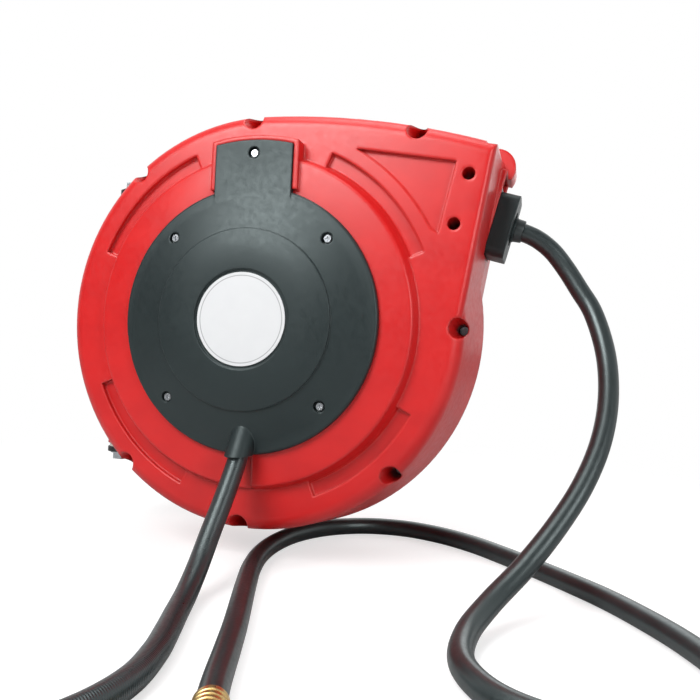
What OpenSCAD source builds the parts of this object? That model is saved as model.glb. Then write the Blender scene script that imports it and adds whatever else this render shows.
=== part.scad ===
// Spring-rewind hose reel: an enclosed drum in a two-shell housing that swivels on a wall bracket.
// Millimetres, +Z up. Origin: centre of the four wall-bolt holes, on the wall plane Y = 0.
// The reel hangs in front of the wall (-Y), folded flat beside its swivel pin, hose mouth toward +X.

/* [Housing] */
// Radius of the housing at the joint between the two shells
rim_r = 210.5; // [200:0.5:230]
// Distance from the joint to the flat face of a shell
face_z = 90; // [84:0.5:100]
// Height of the raised ring above the flat face
ring_rise = 11; // [6:0.5:14]
// Outer radius of the raised ring
ring_r = 156; // [150:0.5:160]
// Wall thickness of the moulded shells
wall = 3; // [2.4:0.1:4]
// Rounding of the shell's front edge
edge_round = 14; // [8:0.5:18]
// Depth of the four arc recesses beside the raised ring
recess_deep = 5; // [2:0.5:7]

/* [Cover] */
// Radius of the round front cover
cover_r = 125; // [122:0.5:128]
// Radius of the label disc in the cover's middle
label_r = 43; // [35:0.5:44]
// Pitch circle radius of the four cover screws
cover_screw_r = 107; // [103:0.5:109]
// Width of the cover's tab
tab_w = 76; // [60:1:84]
// Radius that the tab reaches
tab_r = 168; // [164:0.5:170]

/* [Drum and hose] */
// Outer diameter of the delivery and lead-in hose
hose_d = 18; // [17:0.5:18.5]
// Radius of the drum flanges
flange_r = 174; // [165:0.5:176]
// Radius of the drum core that the hose lies on
core_r = 78; // [74:0.5:80]
// Half the width between the drum flanges
drum_half = 48; // [47:0.5:49]
// Teeth of the ratchet ring
ratchet_teeth = 12; // [8:4:16]
// Turns of the power spring that are drawn
spring_turns = 7; // [5:1:8]

/* [Mouth] */
// Angle of the hose exit below the horizontal
exit_drop = 14; // [10:0.5:16]
// Radius of the two horizontal guide rollers
roller_r = 12; // [11:0.1:12.2]
// Radius of the two upright guide rollers
side_roller_r = 5.4; // [4.5:0.1:5.6]
// Height of the stopper block along the mouth
stopper_h = 63; // [56:0.5:66]
// Thickness of the stopper block along the hose
stopper_t = 19; // [14:0.5:24]

/* [Wall bracket] */
// Distance from the wall to the joint of the shells
wall_gap = 126; // [124:1:150]
// Width of the wall plate
plate_w = 100; // [90:1:130]
// Sheet thickness of the bracket
sheet = 5; // [4:0.5:6]
// Hole spacing of the wall plate, sideways
bolt_dx = 60; // [50:1:70]
// Hole spacing of the wall plate, upright
bolt_dz = 230; // [200:1:240]
// Radius of the wall-bolt holes
bolt_hole_r = 4.5; // [4:0.5:5.5]
// Radius of the swivel pins
pin_r = 6; // [5:0.5:7]

/* [Hidden] */
$fn = 96;
reel_x = 190;               // drum axis, beside the swivel pin
snout_add = 560;            // added to the rim radius: the flat arc along the top edge
rim_flat_r = rim_r - 25;    // where the flat face ends and its rounding starts
plateau_z = face_z + ring_rise;
mouth_wall = [212.4, 90];   // a point of the mouth-side wall at the joint
mouth_lean = 8.9;           // that wall leans out toward the top
exit_at = [216.3, 109];     // where the hose axis crosses the collar's rim
exit_dir = [cos(exit_drop), -sin(exit_drop)];
collar_low = -32; collar_high = 49.5; collar_half = 27; collar_wall = 3;
collar_deep = 14;           // length of the collar along the hose
pivot_top = 138.5;          // end of the housing's swivel boss
arm_z = 143;                // inner face of the bracket arms
tank_r = cover_r - 7;       // inner radius of the round bay under the cover
tank_z = 75;                // floor of that bay
hub_z = tank_z - 13;        // the bearing hub in it, 16 mm long
screw_ring = rim_r - 15.5;
screw_angles = [93, 132, -132, -92, -44.5, 0];
face_arcs = [[23, 66], [113, 158], [-157, -113], [-67, -27]];
snout_screw = [149, 180];
hose_r = hose_d / 2;
hose_lift = 15;             // the lead-in hose's axis above the raised ring, at the cover's edge
lead_x = 2.7;               // sideways place of the lead-in hose at the cover's edge
lead_tilt = 33;             // its lean away from the housing there
wind_pitch = hose_d + 0.7;
wind_loops = 4;
wind_r = core_r + 2.5 * hose_d + 5 + hose_r + 0.4;   // outer layer's mean radius
inner_hose_r = wind_r * cos(7.5) - hose_r - 1.2;   // clear of the outer layer's chords
floor_lie = -222;           // height of a hose that lies on the floor
spring_half_w = 20;

// Route of the delivery hose from the mouth guide down to the floor, once round, and back below the reel
tail_route = [
    [446, -125.7, 96.5], [462, -125.2, 84.5], [475, -125.5, 68.5], [490, -129, 45], [502, -134, 25],
    [514, -150, -15], [516, -171, -55], [509, -195, -93], [494, -219, -128], [473, -243, -160],
    [449, -270, -188], [426, -302, -208], [412, -341, -219], [414, -386, -222], [438, -424, -222],
    [477, -442, -222], [519, -440, -222], [555, -418, -222], [575, -379, -222], [576, -335, -222],
    [562, -292, -222], [541, -251, -222], [517, -213, -222], [489, -178, -222], [459, -144, -222],
    [428, -111, -222], [395, -80, -222], [357, -56, -222], [315, -44, -222], [272, -51, -222],
    [236, -77, -222], [213, -116, -222], [204, -160, -222], [205, -205, -222], [214, -250, -222],
    [227, -293, -222], [241, -336, -222], [255, -379, -222], [268, -422, -221.8], [281, -465, -221],
    [296, -508, -220]];
// Route of the lead-in hose from the swivel elbow, out under the cover and down to the floor
lead_route = [
    [190, -214, -52], [190.8, -215.8, -74], [192.7, -223.2, -96], [192.7, -233.6, -112], [192.7, -245.2, -130],
    [191, -266, -160], [189.5, -286, -185], [191, -309, -206], [196, -336, -218], [204, -366, -222],
    [215, -400, -222], [226, -437, -222], [232, -476, -222], [226, -515, -222], [208, -549, -222],
    [179, -574, -222], [143, -588, -222], [104, -588, -221.8], [66, -577, -221], [33, -556, -220]];

red = [0.80, 0.09, 0.09]; black = [0.12, 0.13, 0.14]; steel = [0.72, 0.73, 0.75];
brass = [0.78, 0.62, 0.30]; rubber = [0.08, 0.08, 0.08]; white = [0.9, 0.9, 0.9];
grey = [0.45, 0.46, 0.48];

// ---- frames: x to the mouth, y up, z away from the joint of the shells
module at_drum() { translate([reel_x, -wall_gap, 0]) children(); }
module facing_front() { at_drum() rotate([90, 0, 0]) children(); }
module facing_rear() { at_drum() mirror([0, 1, 0]) rotate([90, 0, 0]) children(); }
// x along the leaving hose, y across it (up), z toward the front
module along_exit() { facing_front() in_exit_frame() children(); }

// ---- helpers
function tangent_point(p, c, r) =
    let (d = c - p, len = norm(d), a = atan2(d[1], d[0]) - asin(r / len), t = sqrt(len * len - r * r))
    p + t * [cos(a), sin(a)];

// Half section of a drafted wall: foot at the joint, a true arc at the edge, then the flat face
module wall_profile(x0, foot, flat, round, top) {
    c = [flat, top - round];
    polygon([[x0, 0], [foot, 0], tangent_point([foot, 0], c, round), c, [flat, top], [x0, top]]);
    translate(c) circle(r = round, $fn = 48);
}

module tube(h, ro, ri) {
    difference() { cylinder(h = h, r = ro); translate([0, 0, -1]) cylinder(h = h + 2, r = ri); }
}

function unit(v) = v / norm(v);
function tangent_at(p, i) = unit(p[min(i + 1, len(p) - 1)] - p[max(i - 1, 0)]);
// Points of a round tube along a route, one ring of n points for each route point
function sweep_points(p, r, n, ref) = [
    for (i = [0:len(p) - 1])
        let (t = tangent_at(p, i), a = unit(cross(t, ref)), b = cross(a, t))
        for (k = [0:n - 1]) p[i] + r * (cos(360 * k / n) * a + sin(360 * k / n) * b)];
function sweep_faces(m, n) = concat(
    [[for (k = [0:n - 1]) k]],
    [for (i = [0:m - 2]) for (k = [0:n - 1])
        [i * n + k, (i + 1) * n + k, (i + 1) * n + (k + 1) % n, i * n + (k + 1) % n]],
    [[for (k = [0:n - 1]) m * n - 1 - k]]);
module swept_tube(p, r, n, ref) {
    polyhedron(points = sweep_points(p, r, n, ref), faces = sweep_faces(len(p), n), convexity = 8);
}

// ---- shells
function snout_top(x) = -snout_add + sqrt(pow(rim_r + snout_add, 2) - x * x);
corner_y = snout_top(mouth_wall[0] + 12);
corner_c = [mouth_wall[0] + (corner_y - mouth_wall[1]) * tan(mouth_lean) - 15, corner_y - 12];

// The flat-topped part toward the mouth, outside
module snout() {
    difference() {
        intersection() {
            translate([0, -snout_add, 0]) rotate_extrude($fn = 360)
                wall_profile(snout_add, rim_r + snout_add, rim_flat_r + snout_add, edge_round, face_z);
            translate([mouth_wall[0], mouth_wall[1], -0.5]) rotate([0, 0, -mouth_lean]) rotate([90, 0, 0])
                linear_extrude(height = 420, center = true) wall_profile(-230, 0, -10, 7, face_z + 0.52);
            translate([0, -6, -5]) cube([270, 236, face_z + 10]);
        }
        // the rounded outer corner
        translate([corner_c[0], corner_c[1], -1]) difference() {
            rotate([0, 0, -4]) cube([60, 60, face_z + 2]);
            rotate([8, -2, 0]) translate([0, 0, -2]) cylinder(h = face_z + 8, r = 13);
        }
    }
}
// Its hollow, with flat chamfers where the outside is round
module snout_hollow() {
    intersection() {
        translate([0, -snout_add, -0.3]) rotate_extrude($fn = 360) translate([snout_add, 0])
            polygon([[0, 0], [rim_r - wall, 0], [rim_flat_r + 6, face_z - wall - 8],
                     [rim_flat_r, face_z - wall], [0, face_z - wall]]);
        translate([mouth_wall[0], mouth_wall[1], -0.7]) rotate([0, 0, -mouth_lean]) rotate([90, 0, 0])
            linear_extrude(height = 420, center = true)
                polygon([[-230, 0], [-wall, 0], [-8, face_z - wall - 6], [-13, face_z - wall + 1.1],
                         [-230, face_z - wall + 1.1]]);
        translate([34, 34, -5]) cube([240, 200, face_z + 10]);
        // square across the rounded corner
        translate([corner_c[0], corner_c[1], -4]) rotate([0, 0, 41]) translate([-300, -300, 0])
            cube([300 + 7, 600, face_z + 10]);
    }
}

module shell_body() {
    difference() {
        rotate_extrude($fn = 180) wall_profile(0, rim_r, rim_flat_r, edge_round, face_z);
        // here the snout takes over from the rim, with the same section at x = 0
        translate([0, 172, -5]) cube([44, 60, face_z + 10]);
    }
    translate([0, 0, face_z - 4]) rotate_extrude($fn = 180)
        wall_profile(0, ring_r + 5, ring_r - 3, 2.5, plateau_z - face_z + 4);
    snout();
}
module main_hollow() {
    translate([0, 0, -0.5]) rotate_extrude($fn = 180)
        wall_profile(0, rim_r - wall, rim_flat_r, edge_round - wall, face_z - wall + 0.5);
}
module ring_hollow() {
    translate([0, 0, face_z - 8]) cylinder(h = ring_rise + 8 - wall, r = ring_r - 5, $fn = 180);
}

// Swivel boss, above (s = 1) and below (s = -1)
module pivot_lug(s) {
    translate([-reel_x, 0, 0]) rotate([-90 * s, 0, 0]) translate([0, 0, 92]) {
        cylinder(h = pivot_top - 92, r = 15);
        translate([0, -12, 0]) cube([42, 24, pivot_top - 92]);
    }
}

module half_lugs() {
    intersection() {
        union() { pivot_lug(1); pivot_lug(-1); }
        translate([-250, -250, 0]) cube([500, 500, 60]);
    }
}

// Ring of the face between the raised ring and the edge, from low to high
module arc_band(a0, a1, low, high, grow) {
    translate([0, 0, low]) rotate([0, 0, a0 - grow]) rotate_extrude(angle = a1 - a0 + 2 * grow, $fn = 180)
        translate([ring_r - 6 - grow, 0]) square([24 + 2 * grow, high - low]);
}
module arc_cut(a0, a1) {
    difference() {
        arc_band(a0, a1, face_z - recess_deep, face_z + 30, 0);
        cylinder(h = 200, r1 = ring_r + 36.6, r2 = ring_r - 36.8, $fn = 180);
    }
}

module screw_sites() {
    for (a = screw_angles) rotate([0, 0, a]) translate([screw_ring, 0, 0]) rotate([0, 0, -a]) children();
    translate([snout_screw[0], snout_screw[1], 0]) children();
}

module collar_half_solid() {
    translate([-collar_deep, collar_low, 0]) cube([collar_deep, collar_high - collar_low, collar_half]);
}
module collar_passage() {
    translate([-40, collar_low + collar_wall, -1])
        cube([60, collar_high - collar_low - 2 * collar_wall, collar_half - collar_wall + 1]);
}
module in_exit_frame() { translate([exit_at[0], exit_at[1], 0]) rotate([0, 0, -exit_drop]) children(); }

module screw_columns() {
    screw_sites() translate([0, 0, -5]) cylinder(h = face_z + 10, r1 = 8, r2 = 13, $fn = 48);
}
// What both shells share: outer form, cavity, swivel boss, mouth collar, screw columns
module half_shell() {
    difference() {
        union() {
            difference() {
                shell_body();
                // the hollows leave the columns of the housing screws standing
                difference() { main_hollow(); screw_columns(); }
                difference() { snout_hollow(); screw_columns(); }
                ring_hollow();
                in_exit_frame() translate([-0.5, -34.5, -1]) cube([30, 67, collar_half + 1]);
            }
            half_lugs();
            in_exit_frame() collar_half_solid();
            // thicker skin below the arc recesses
            for (a = face_arcs) arc_band(a[0], a[1], face_z - recess_deep - wall, face_z - 2, 1.2);
        }
        for (a = face_arcs) arc_cut(a[0], a[1]);
        in_exit_frame() collar_passage();
        // room for the swivel bushes, half in each shell
        for (s = [-1, 1]) translate([-reel_x, 0, 0]) rotate([-90 * s, 0, 0])
            translate([0, 0, 102]) cylinder(h = 60, r = pin_r + 3);
        // room for the drum
        translate([0, 0, -1]) cylinder(h = 62, r = flange_r + 3, $fn = 180);
    }
}

module roller_sites() {
    for (s = [-1, 1]) in_exit_frame() translate([-25.5, s * 23, 0]) children();
}

module front_shell() color(red) facing_front() difference() {
    union() {
        difference() {
            half_shell();
            translate([0, 0, tank_z]) cylinder(h = 60, r = tank_r);
        }
        translate([0, 0, face_z - 4.5 - wall]) linear_extrude(height = wall + 3) corner_outline(1.5);
        // floor below the channel of the lead-in hose
        translate([lead_x - 16, -ring_r + 1, face_z - 2]) cube([26, ring_r - tank_r - 2, ring_rise]);
        // round bay under the cover with its bearing hub
        translate([0, 0, tank_z - wall]) tube(plateau_z - tank_z + wall, tank_r + wall, tank_r);
        translate([0, 0, tank_z - wall]) cylinder(h = wall, r = tank_r + 1);
        translate([0, 0, hub_z]) cylinder(h = 16, r = 24);
        for (a = [45:90:315]) rotate([0, 0, a]) translate([cover_screw_r, 0, tank_z - 1])
            cylinder(h = plateau_z - tank_z + 1, r = 6, $fn = 32);
        // raised pad that frames the cover's tab
        intersection() {
            translate([-tab_w / 2 - 5, tank_r + 4, face_z - 4]) cube([tab_w + 10, 80, plateau_z - face_z + 9]);
            cylinder(h = 200, r = tab_r + 5, $fn = 180);
        }
        // sleeves of the two round holes over the roller pins
        roller_sites() translate([0, 0, 36]) cylinder(h = face_z - 37, r = 8.5, $fn = 32);
    }
    translate([0, 0, face_z - 4.5]) linear_extrude(height = 20) corner_outline(0);
    // the tab's seat in its pad
    intersection() {
        translate([-tab_w / 2 - 0.4, tank_r + 3, plateau_z]) cube([tab_w + 0.8, 80, 20]);
        cylinder(h = 200, r = tab_r + 0.4, $fn = 180);
    }
    translate([0, tab_r - 12, face_z]) cylinder(h = 30, r = 1.6, $fn = 24);
    // scoops and counterbores of the housing screws
    screw_sites() {
        translate([0, 0, 34]) cylinder(h = 80, r = 5.2, $fn = 32);
        translate([0, 0, 58]) cylinder(h = 34, r1 = 5.2, r2 = 10.5, $fn = 48);
        translate([0, 0, -1]) cylinder(h = 60, r = 2.1, $fn = 24);
    }
    roller_sites() {
        translate([0, 0, 46]) cylinder(h = 60, r = 5.8, $fn = 48);
        translate([0, 0, 30]) cylinder(h = 60, r = 4, $fn = 32);
    }
    // bearing bore, cover screw holes and the channel for the lead-in hose
    translate([0, 0, 50]) cylinder(h = 60, r = 18);
    for (a = [45:90:315]) rotate([0, 0, a]) translate([cover_screw_r, 0, plateau_z - 12])
        cylinder(h = 20, r = 1.6, $fn = 24);
    translate([lead_x - 13, -ring_r - 8, plateau_z - 6]) cube([20, 60, 20]);
    lead_axis() translate([0, 0, -60]) cylinder(h = 150, r = hose_r + 1.5, $fn = 48);
    translate([-13, -44, 60]) cylinder(h = 40, r = 1.6, $fn = 24);
}

// Line of the lead-in hose where it leaves the cover, local z outward along it
module lead_axis() {
    translate([lead_x, -cover_r, plateau_z + hose_lift]) rotate([180 - lead_tilt - 90, 0, 0])
        rotate([0, 0, 0]) children();
}

// Three-cornered recess of the face beside the mouth
module corner_outline(grow) {
    difference() {
        polygon([[94 - 3 * grow, 162.5 + grow], [186 + grow, 149 + grow], [172 + grow, 84 - 3 * grow],
                 [150, 100], [120, 130]]);
        circle(r = 187.5 - grow, $fn = 180);
    }
}

module rear_shell_solid() {
    difference() {
        half_shell();
        translate([0, 0, tank_z + 10]) cylinder(h = 60, r = 92);
        screw_sites() translate([0, 0, -1]) cylinder(h = 28, r = 1.9, $fn = 24);
    }
    // lug beside the mouth
    difference() {
        translate([215.5, 166.5, 0]) cylinder(h = 34, r = 19.5);
        in_exit_frame() translate([-60, -60, -1]) cube([100, 107.5, 60]);
    }
    // rear wall and the seat of the spring arbor
    difference() {
        union() {
            translate([0, 0, tank_z + 7]) cylinder(h = wall, r = 93);
            translate([0, 0, 62]) cylinder(h = 26, r = 24);
        }
        translate([0, 0, 50]) cylinder(h = 60, r = 12);
        for (a = [30:60:330]) rotate([0, 0, a]) translate([18, 0, 70]) cylinder(h = 40, r = 1.6, $fn = 24);
    }
    for (a = [45:90:315]) rotate([0, 0, a]) translate([84, 0, tank_z + 9])
        tube(plateau_z - 3 - tank_z - 9, 5.5, 1.6, $fn = 32);
    translate([0, 0, tank_z + 7]) tube(plateau_z - tank_z - 7, 95, 92);
    roller_sites() difference() {
        translate([0, 0, 36]) cylinder(h = face_z - 37, r = 8.5, $fn = 32);
        translate([0, 0, 30]) cylinder(h = 9, r = 4, $fn = 32);
    }
    for (a = [0:60:300]) rotate([0, 0, a]) translate([22, -1.5, tank_z + 2]) cube([69, 3, 6]);
}
module rear_shell() color(red) facing_rear() rear_shell_solid();

module screw(head_r, head_h, shank_r, len) {
    difference() {
        cylinder(h = head_h, r = head_r, $fn = 32);
        for (a = [0, 90]) rotate([0, 0, a])
            translate([-head_r * 0.6, -0.45, head_h - 1.1]) cube([head_r * 1.2, 0.9, 2]);
    }
    translate([0, 0, -len]) cylinder(h = len + 0.5, r = shank_r, $fn = 24);
}

module housing_screws() color(grey) facing_front() screw_sites()
    translate([0, 0, 34]) screw(4.4, 3, 1.9, 58);

// ---- cover
dome_c = plateau_z + 6 - 430.4;
tab_rise = 7;               // the tab's face above the raised ring, just above the cover's edge
screw_head_r = 3.4;
label_z = plateau_z + 18.4;  // floor of the label's recess
module dome_half(lift, cut_r, top) {
    intersection() {
        translate([0, dome_c]) circle(r = 447.4 + lift, $fn = 720);
        translate([0, plateau_z - 20]) square([cut_r, top - plateau_z + 20]);
    }
}
module front_cover() color(black) facing_front() difference() {
    union() {
        rotate_extrude($fn = 180) {
            dome_half(0, cover_r - 3, plateau_z + 18);
            dome_half(2.2, 84, label_z + 2.2);
            translate([0, plateau_z - 20]) square([cover_r, 23.4]);
            translate([cover_r - 3, plateau_z + 3.3]) circle(r = 3, $fn = 32);
        }
        intersection() {
            translate([-tab_w / 2, cover_r - 30, plateau_z - 2]) cube([tab_w, 90, tab_rise + 2]);
            cylinder(h = 200, r = tab_r, $fn = 180);
        }
        // tunnel of the lead-in hose
        intersection() {
            lead_axis() translate([0, 0, -60]) cylinder(h = 70, r = hose_r + 3.5, $fn = 48);
            cylinder(h = 200, r = cover_r, $fn = 180);
            translate([-50, -200, plateau_z - 2]) cube([100, 120, 60]);
        }
    }
    // hollow inside
    difference() {
        rotate_extrude($fn = 180) {
            dome_half(-wall, tank_r - 2, plateau_z + 15);
            dome_half(2.2 - wall, 82, label_z - 1.5);
            translate([0, plateau_z - 30]) square([tank_r - 2, 33]);
        }
        for (a = [45:90:315]) rotate([0, 0, a]) translate([cover_screw_r, 0, 0])
            cylinder(h = 200, r = 6, $fn = 32);
        translate([0, 0, plateau_z + 14]) cylinder(h = 30, r = 51);
    }
    translate([0, 0, -1]) cylinder(h = plateau_z + 1, r = 200, $fn = 180);
    intersection() {
        translate([-tab_w / 2 + 3, cover_r - 4, plateau_z - 5]) cube([tab_w - 6, 90, tab_rise + 5 - wall]);
        difference() {
            cylinder(h = 200, r = tab_r - 3, $fn = 180);
            translate([0, tab_r - 12, 0]) cylinder(h = 200, r = 6.5, $fn = 32);
        }
    }
    // label recess, screw counterbores, hose hole
    translate([0, 0, label_z]) cylinder(h = 30, r = label_r + 3);
    for (a = [45:90:315]) rotate([0, 0, a]) translate([cover_screw_r, 0, 0]) {
        translate([0, 0, plateau_z + 5]) cylinder(h = 30, r = 5.4, $fn = 40);
        cylinder(h = 200, r = 2.1, $fn = 24);
    }
    translate([0, tab_r - 12, 0]) {
        translate([0, 0, plateau_z + tab_rise - 5]) cylinder(h = 30, r = 5.4, $fn = 40);
        cylinder(h = 200, r = 2.1, $fn = 24);
    }
    lead_axis() translate([0, 0, -70]) cylinder(h = 150, r = hose_r + 0.3, $fn = 48);
}

module label_disc() color(white) facing_front()
    translate([0, 0, label_z]) cylinder(h = 1.2, r = label_r);

module cover_screws() color(steel) facing_front() {
    for (a = [45:90:315]) rotate([0, 0, a]) translate([cover_screw_r, 0, plateau_z + 5]) rotate([0, 0, -a])
        screw(screw_head_r, 3, 1.6, 14);
    translate([0, tab_r - 12, plateau_z + tab_rise - 5]) screw(screw_head_r, 3, 1.6, 12);
}

module rear_cover() color(black) facing_rear() difference() {
    rotate_extrude($fn = 180) {
        translate([0, plateau_z - 6]) square([91.7, 6]);
        translate([0, plateau_z]) square([98, 1.6]);
        translate([0, plateau_z]) square([96.6, 3]);
        translate([96.6, plateau_z + 1.6]) circle(r = 1.4, $fn = 32);
        translate([0, plateau_z]) square([62, 6]);
    }
    rotate_extrude($fn = 180) {
        translate([0, plateau_z - 20]) square([90, 17]);
        translate([0, plateau_z - 5]) square([59, 8]);
    }
    for (a = [45:90:315]) rotate([0, 0, a]) translate([84, 0, 0]) cylinder(h = 200, r = 2.1, $fn = 24);
    // cooling slots over the spring seat
    for (a = [0:30:330]) rotate([0, 0, a]) translate([30, -1.5, plateau_z - 10]) cube([20, 3, 30]);
}
module rear_cover_screws() color(steel) facing_rear()
    for (a = [45:90:315]) rotate([0, 0, a]) translate([84, 0, plateau_z + 3]) rotate([0, 0, -a])
        screw(4, 2.6, 1.6, 15);

// ---- swivel bracket
module wall_bracket() color(black) difference() {
    union() {
        translate([-plate_w / 2, -sheet, -arm_z - sheet]) cube([plate_w, sheet, 2 * (arm_z + sheet)]);
        for (s = [0, 1]) mirror([0, 0, s]) translate([0, 0, arm_z]) {
            linear_extrude(height = sheet)
                polygon([[-plate_w / 2, 0], [plate_w / 2, 0], [plate_w / 2, -22], [15, -wall_gap],
                         [-15, -wall_gap], [-plate_w / 2, -22]]);
            translate([0, -wall_gap, 0]) cylinder(h = sheet, r = 15);
        }
        // pressed ribs that stiffen the bends
        for (s = [0, 1]) mirror([0, 0, s]) for (x = [-24, 20]) translate([x, 0, arm_z + 0.5])
            rotate([0, -90, 180]) linear_extrude(height = 4)
                polygon([[0, sheet - 1], [0, 42], [-36, sheet - 1]]);
    }
    for (x = [-1, 1]) for (z = [-1, 1]) translate([x * bolt_dx / 2, 1, z * bolt_dz / 2]) rotate([90, 0, 0])
        cylinder(h = sheet + 2, r = bolt_hole_r, $fn = 40);
    translate([0, -wall_gap, -arm_z - 20]) cylinder(h = 2 * arm_z + 40, r = pin_r, $fn = 48);
    // lightening window of the wall plate
    translate([-24, -sheet - 1, -60]) cube([48, sheet + 2, 120]);
}
module pivot_bolt(s) {
    translate([0, -wall_gap, 0]) rotate([s > 0 ? 0 : 180, 0, 0]) {
        translate([0, 0, 102.5]) cylinder(h = arm_z + sheet - 102.5, r = pin_r, $fn = 48);
        translate([0, 0, arm_z + sheet]) cylinder(h = 1.6, r = 12, $fn = 48);
        translate([0, 0, arm_z + sheet + 1.6]) cylinder(h = 7, r = 10.4, $fn = 6);
    }
}
module upper_pivot_bolt() color(steel) pivot_bolt(1);
module lower_pivot_bolt() color(steel) pivot_bolt(-1);
module pivot_bush(s) {
    translate([0, -wall_gap, 0]) rotate([s > 0 ? 0 : 180, 0, 0]) difference() {
        union() {
            translate([0, 0, 102]) cylinder(h = pivot_top - 102, r = pin_r + 3, $fn = 48);
            translate([0, 0, pivot_top]) cylinder(h = arm_z - pivot_top - 0.3, r = 13, $fn = 48);
        }
        translate([0, 0, 100]) cylinder(h = 60, r = pin_r + 0.05, $fn = 48);
    }
}
module upper_pivot_bush() color(white) pivot_bush(1);
module lower_pivot_bush() color(white) pivot_bush(-1);

// ---- water path on the housing
module front_bush() color(white) facing_front() translate([0, 0, hub_z]) {
    tube(16, 18, 13.05);
    translate([0, 0, -1.2]) tube(1.2, 22, 13.05);
}
module swivel_elbow() color(brass) facing_front() difference() {
    union() {
        translate([0, 0, hub_z + 16.3]) cylinder(h = 20, r = 16);
        translate([0, 0, hub_z + 16.3]) cylinder(h = 4, r = 19, $fn = 6);
        translate([0, 0, lead_z]) rotate([90, 0, 0]) cylinder(h = 34, r = 9.5);
        translate([0, 0, lead_z]) rotate([90, 0, 0]) cylinder(h = 52, r = 6.2);
        // foot that the housing holds it by
        translate([-17, -50, tank_z]) cube([8, 24, 6]);
        translate([-17, -34, tank_z]) cube([12, 8, 17]);
    }
    translate([0, 0, hub_z + 10]) cylinder(h = 24, r = 10.55);
    translate([0, 0, lead_z]) rotate([90, 0, 0]) cylinder(h = 60, r = 4.6);
    translate([-13, -44, 60]) cylinder(h = 40, r = 1.9, $fn = 24);
}
module elbow_screw() color(steel) facing_front() translate([-13, -44, tank_z + 6]) screw(3.4, 2.4, 1.6, 9);
module lead_ferrule() color(steel) facing_front() translate([0, -35, lead_z]) rotate([90, 0, 0])
    tube(17, 10.4, hose_r);

module lead_hose() color(rubber) {
    difference() {
        swept_tube(lead_steps, hose_r, 12, [0.55, 0, 0.83]);
        facing_front() translate([0, -30, lead_z]) rotate([90, 0, 0]) cylinder(h = 22, r = 6.2);
    }
}
lead_z = 88;                // height of the elbow's outlet above the joint of the shells
lead_steps = concat([[reel_x, -wall_gap - lead_z, -35]], lead_route);

// End fitting on a hose: ferrule, hexagon and male thread, local z out of the hose
module hose_end() {
    tube(22, hose_r + 1.6, hose_r);
    translate([0, 0, 22]) cylinder(h = 3, r = hose_r + 1.6);
    translate([0, 0, 25]) rotate([0, 0, 30]) cylinder(h = 11, r = 12.7, $fn = 6);
    difference() {
        translate([0, 0, 36]) cylinder(h = 14, r = 10.48);
        translate([0, 0, 30]) cylinder(h = 30, r = 5.5);
    }
}
module at_end_of(p) {
    e = p[len(p) - 1]; d = unit(e - p[len(p) - 2]);
    translate(e) rotate([0, acos(d[2]), atan2(d[1], d[0])]) translate([0, 0, -22]) children();
}
module lead_fitting() color(brass) at_end_of(lead_route) hose_end();
module tail_fitting() color(brass) at_end_of(tail_route) hose_end();

// ---- mouth guide
module mouth_frame() color(black) along_exit() difference() {
    union() {
        // rear part: side plates and bars round the horizontal rollers
        translate([-41, -40, -29]) cube([41 - collar_deep, 80, 58]);
        translate([-collar_deep - 1, -28.6, -23.6]) cube([collar_deep, 63, 47.2]);
    }
    translate([-42, -36.8, -25]) cube([42 - collar_deep - 2, 73.6, 50]);
    translate([-20, -24.6, -20.6]) cube([24, 55, 41.2]);
    for (s = [-1, 1]) translate([-25.5, s * 23, -25]) cylinder(h = 50, r = roller_r + 0.8);
    for (s = [-1, 1]) translate([-25.5, s * 23, -40]) cylinder(h = 80, r = 4, $fn = 32);
    for (s = [-1, 1]) translate([-7.6, -40, s * side_roller_z]) rotate([-90, 0, 0])
        cylinder(h = 90, r = 2, $fn = 24);
}
side_roller_z = hose_r + 0.6 + side_roller_r;
module guide_roller(s) {
    along_exit() translate([-25.5, s * 23, -23.6]) difference() {
        cylinder(h = 47.2, r = roller_r);
        translate([0, 0, -1]) cylinder(h = 60, r = 4.06, $fn = 48);
        for (z = [-1, 45.2]) translate([0, 0, z]) tube(3, roller_r - 2, 7);
    }
}
module upper_roller() color(grey) guide_roller(1);
module lower_roller() color(grey) guide_roller(-1);
module side_roller(s) {
    along_exit() translate([-7.6, -24.3, s * side_roller_z]) rotate([-90, 0, 0]) difference() {
        cylinder(h = 54.4, r = side_roller_r, $fn = 48);
        translate([0, 0, -1]) cylinder(h = 60, r = 2.06, $fn = 32);
    }
}
module front_side_roller() color(grey) side_roller(1);
module rear_side_roller() color(grey) side_roller(-1);
module roller_pins() color(steel) along_exit() for (s = [-1, 1])
    translate([-25.5, s * 23, -38]) cylinder(h = 76, r = 4, $fn = 32);
module side_roller_pins() color(steel) along_exit() for (s = [-1, 1])
    translate([-7.6, -28.6, s * side_roller_z]) rotate([-90, 0, 0]) cylinder(h = 63, r = 2, $fn = 24);

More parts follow.
